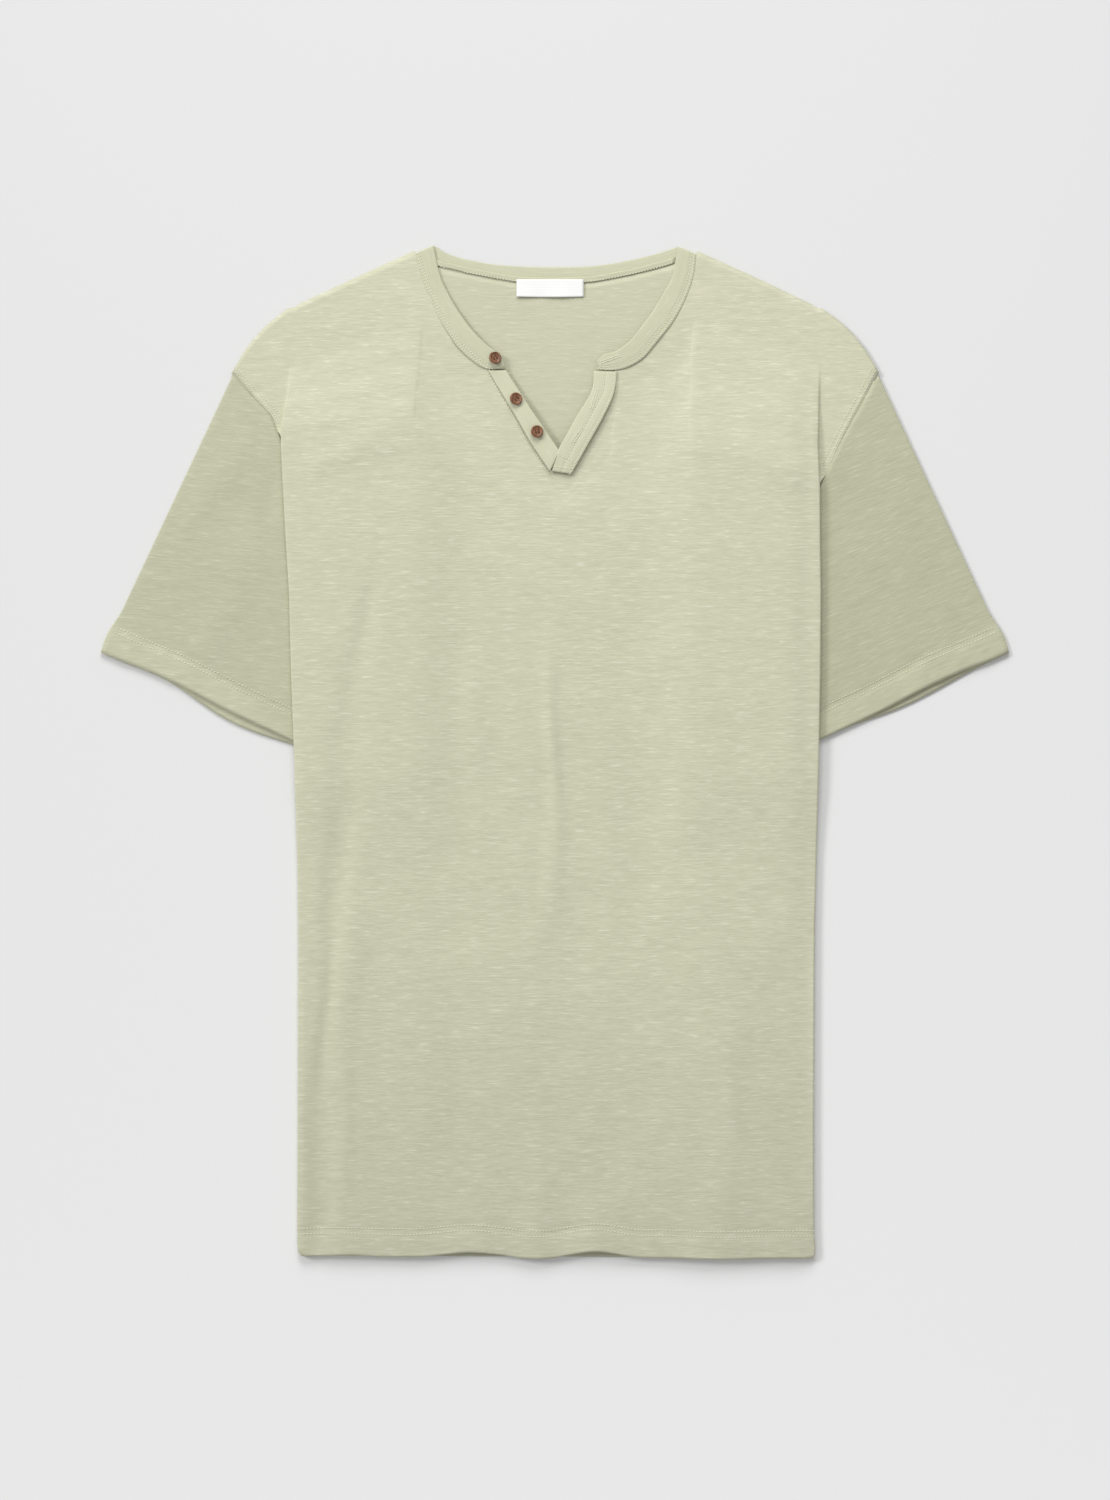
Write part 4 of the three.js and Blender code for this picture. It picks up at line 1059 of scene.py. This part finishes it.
def sew(name, rows, pitch=STITCH_PITCH, length=STITCH_LENGTH, width=STITCH_WIDTH, seed=4):
    """Rows of stitches along paths of points in metres, made one plain mesh."""
    vertices, edges = [], []
    for row in rows:
        start = len(vertices)
        vertices += row
        edges += [(start + k, start + k + 1) for k in range(len(row) - 1)]
    mesh = bpy.data.meshes.new(name)
    mesh.from_pydata(vertices, edges, [])
    guide = stage_object(name + "_guide", mesh)
    step = guide.modifiers.new("stitches", "NODES")
    step.node_group = stitches
    step[socket_of["Pitch"]] = pitch * MM
    step[socket_of["Length"]] = length * MM
    step[socket_of["Width"]] = width * MM
    step[socket_of["Seed"]] = seed
    step[socket_of["Finish"]] = thread
    ready = guide.evaluated_get(bpy.context.evaluated_depsgraph_get())
    sewn = bpy.data.meshes.new_from_object(ready)
    sewn.name = name
    bpy.data.objects.remove(guide)
    sewn.polygons.foreach_set("use_smooth", [True] * len(sewn.polygons))
    piece = stage_object(name, sewn)
    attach(piece, "root")
    return piece


def grid_row(grid, height, columns):
    """The plan path across a panel's grid at one height above its lower edge."""
    path = []
    for i in columns:
        column = grid[:, i]
        target = column[0, 1] + height
        y = column[:, 1]
        k = int(np.clip(np.searchsorted(y, target), 1, len(y) - 1))
        t = (target - y[k - 1]) / (y[k] - y[k - 1])
        path.append(tuple((column[k - 1] * (1 - t) + column[k] * t)[:2]))
    return path


def offset_path(rows, share, shift=0.0):
    """A path at a share of the way across a strip, or shift millimetres outside its outer edge."""
    rows = np.asarray(rows)
    outer, inner = rows[:, :2], rows[:, 2:4]
    width = np.linalg.norm(inner - outer, axis=1)[:, None]
    return [tuple(p) for p in outer + (inner - outer) * share + (outer - inner) / width * shift]


HEM_ROWS = (16.2, 20.2)
side_steps = 2 * BEND_STEPS + 2 + STRIP_STEPS
middle_columns = range(side_steps - 6, front_grid.shape[1] - side_steps + 6)
front_rows = [laid_on(grid_row(front_grid, h, middle_columns), [cloth_front]) for h in HEM_ROWS]
sew("stitching_hem_front", front_rows, seed=11)
back_columns = range(side_steps + 20, back_grid.shape[1] - side_steps - 20)
back_rows = [laid_on(grid_row(back_grid, h, back_columns), [cloth_back], below=True) for h in HEM_ROWS]
sew("stitching_hem_back", back_rows, seed=12)

for side in ("right", "left"):
    sign = -1 if side == "right" else 1
    paths = []
    for height in HEM_ROWS:
        start = CUFF_OUTER + np.array([-2.4, 0.0])
        way = CUFF_INNER - CUFF_OUTER
        unit = way / np.linalg.norm(way)
        normal = np.array([-unit[1], unit[0]]) * -1.0
        normal = normal if normal[1] > 0 else -normal
        reach = np.linspace(1.0, 151.0, 120)
        inset = height + 1.6 * swell(reach / 184 - 0.3, 0.3)
        path = (start + unit * reach[:, None] + normal * inset[:, None]) * (sign, 1)
        paths.append(laid_on(path, [sleeves[side]]))
        paths.append(laid_on(path, [sleeves[side]], below=True))
    sew(f"stitching_cuff_{side}", paths, seed=13)

seam_rows = []
for strip in (band_right, band_left):
    seam_rows.append(laid_on(offset_path(strip, 0.09), [cloth_neckband]))
    seam_rows.append(laid_on(offset_path(strip, 0.25), [cloth_neckband]))
seam_rows.append(laid_on(offset_path(band_back[4:-4], 0.12), [cloth_neckband, tape]))
sew("stitching_neckband", seam_rows, pitch=2.2, length=1.6, width=0.62, seed=14)

placket_rows = through([row[:4] for row in BUTTONHOLE_PLACKET], 60)
button_rows = through([row[:4] for row in BUTTON_PLACKET], 60)
border = [laid_on(offset_path(placket_rows, 0.09), [plackets[1]]),
          laid_on(offset_path(placket_rows[:54], 0.52), [plackets[1]]),
          laid_on(offset_path(button_rows, 0.0, 1.2), [cloth_front]),
          laid_on([tuple(p) for p in np.linspace((-1.0, 206.4), (11.0, 204.6), 12)],
                  [plackets[1], plackets[0]]),
          laid_on([tuple(p) for p in np.linspace((1.6, 215.5), (14.4, 209.4), 12)],
                  [plackets[1], plackets[0]])]
sew("stitching_plackets", border, pitch=2.2, length=1.6, width=0.62, seed=15)

armhole_rows = []
for key, sign in ((1, -1), (2, 1)):
    seam = through(np.array([SECTIONS[k][key][2:] for k in range(len(SECTIONS) - 1, FIRST_OPEN - 1, -1)]), 40)
    for shift in (1.6, 4.4):
        armhole_rows.append(laid_on([((x - shift) * sign, y + shift * 0.5) for x, y in seam], [cloth_front]))
sew("stitching_armholes", armhole_rows, pitch=2.2, length=1.6, width=0.55, seed=16)

# A buttonhole is a slit edged on both sides with dense zigzag, and closed at each end with a bar
BUTTONHOLES = [((30.8, 262.6), (26.6, 248.6)), ((20.6, 234.6), (12.6, 224.0)), ((33.4, 282.4), (47.2, 287.2))]
holes = []
for a, b in BUTTONHOLES:
    a, b = np.array(a), np.array(b)
    way = (b - a) / np.linalg.norm(b - a)
    normal = np.array([-way[1], way[0]])
    for offset in (-0.75, 0.75):
        line = []
        steps = 46
        for k in range(steps + 1):
            zig = 0.42 if k % 2 else -0.42
            line.append(tuple(a + (b - a) * k / steps + normal * (offset + zig * 0.6)))
        holes.append(laid_on(line, [plackets[1], cloth_neckband]))
    for end in (a, b):
        line = [tuple(end + normal * s) for s in np.linspace(-1.2, 1.2, 6)]
        holes.append(laid_on(line, [plackets[1], cloth_neckband]))
sew("stitching_buttonholes", holes, pitch=0.55, length=0.8, width=0.4, seed=17)
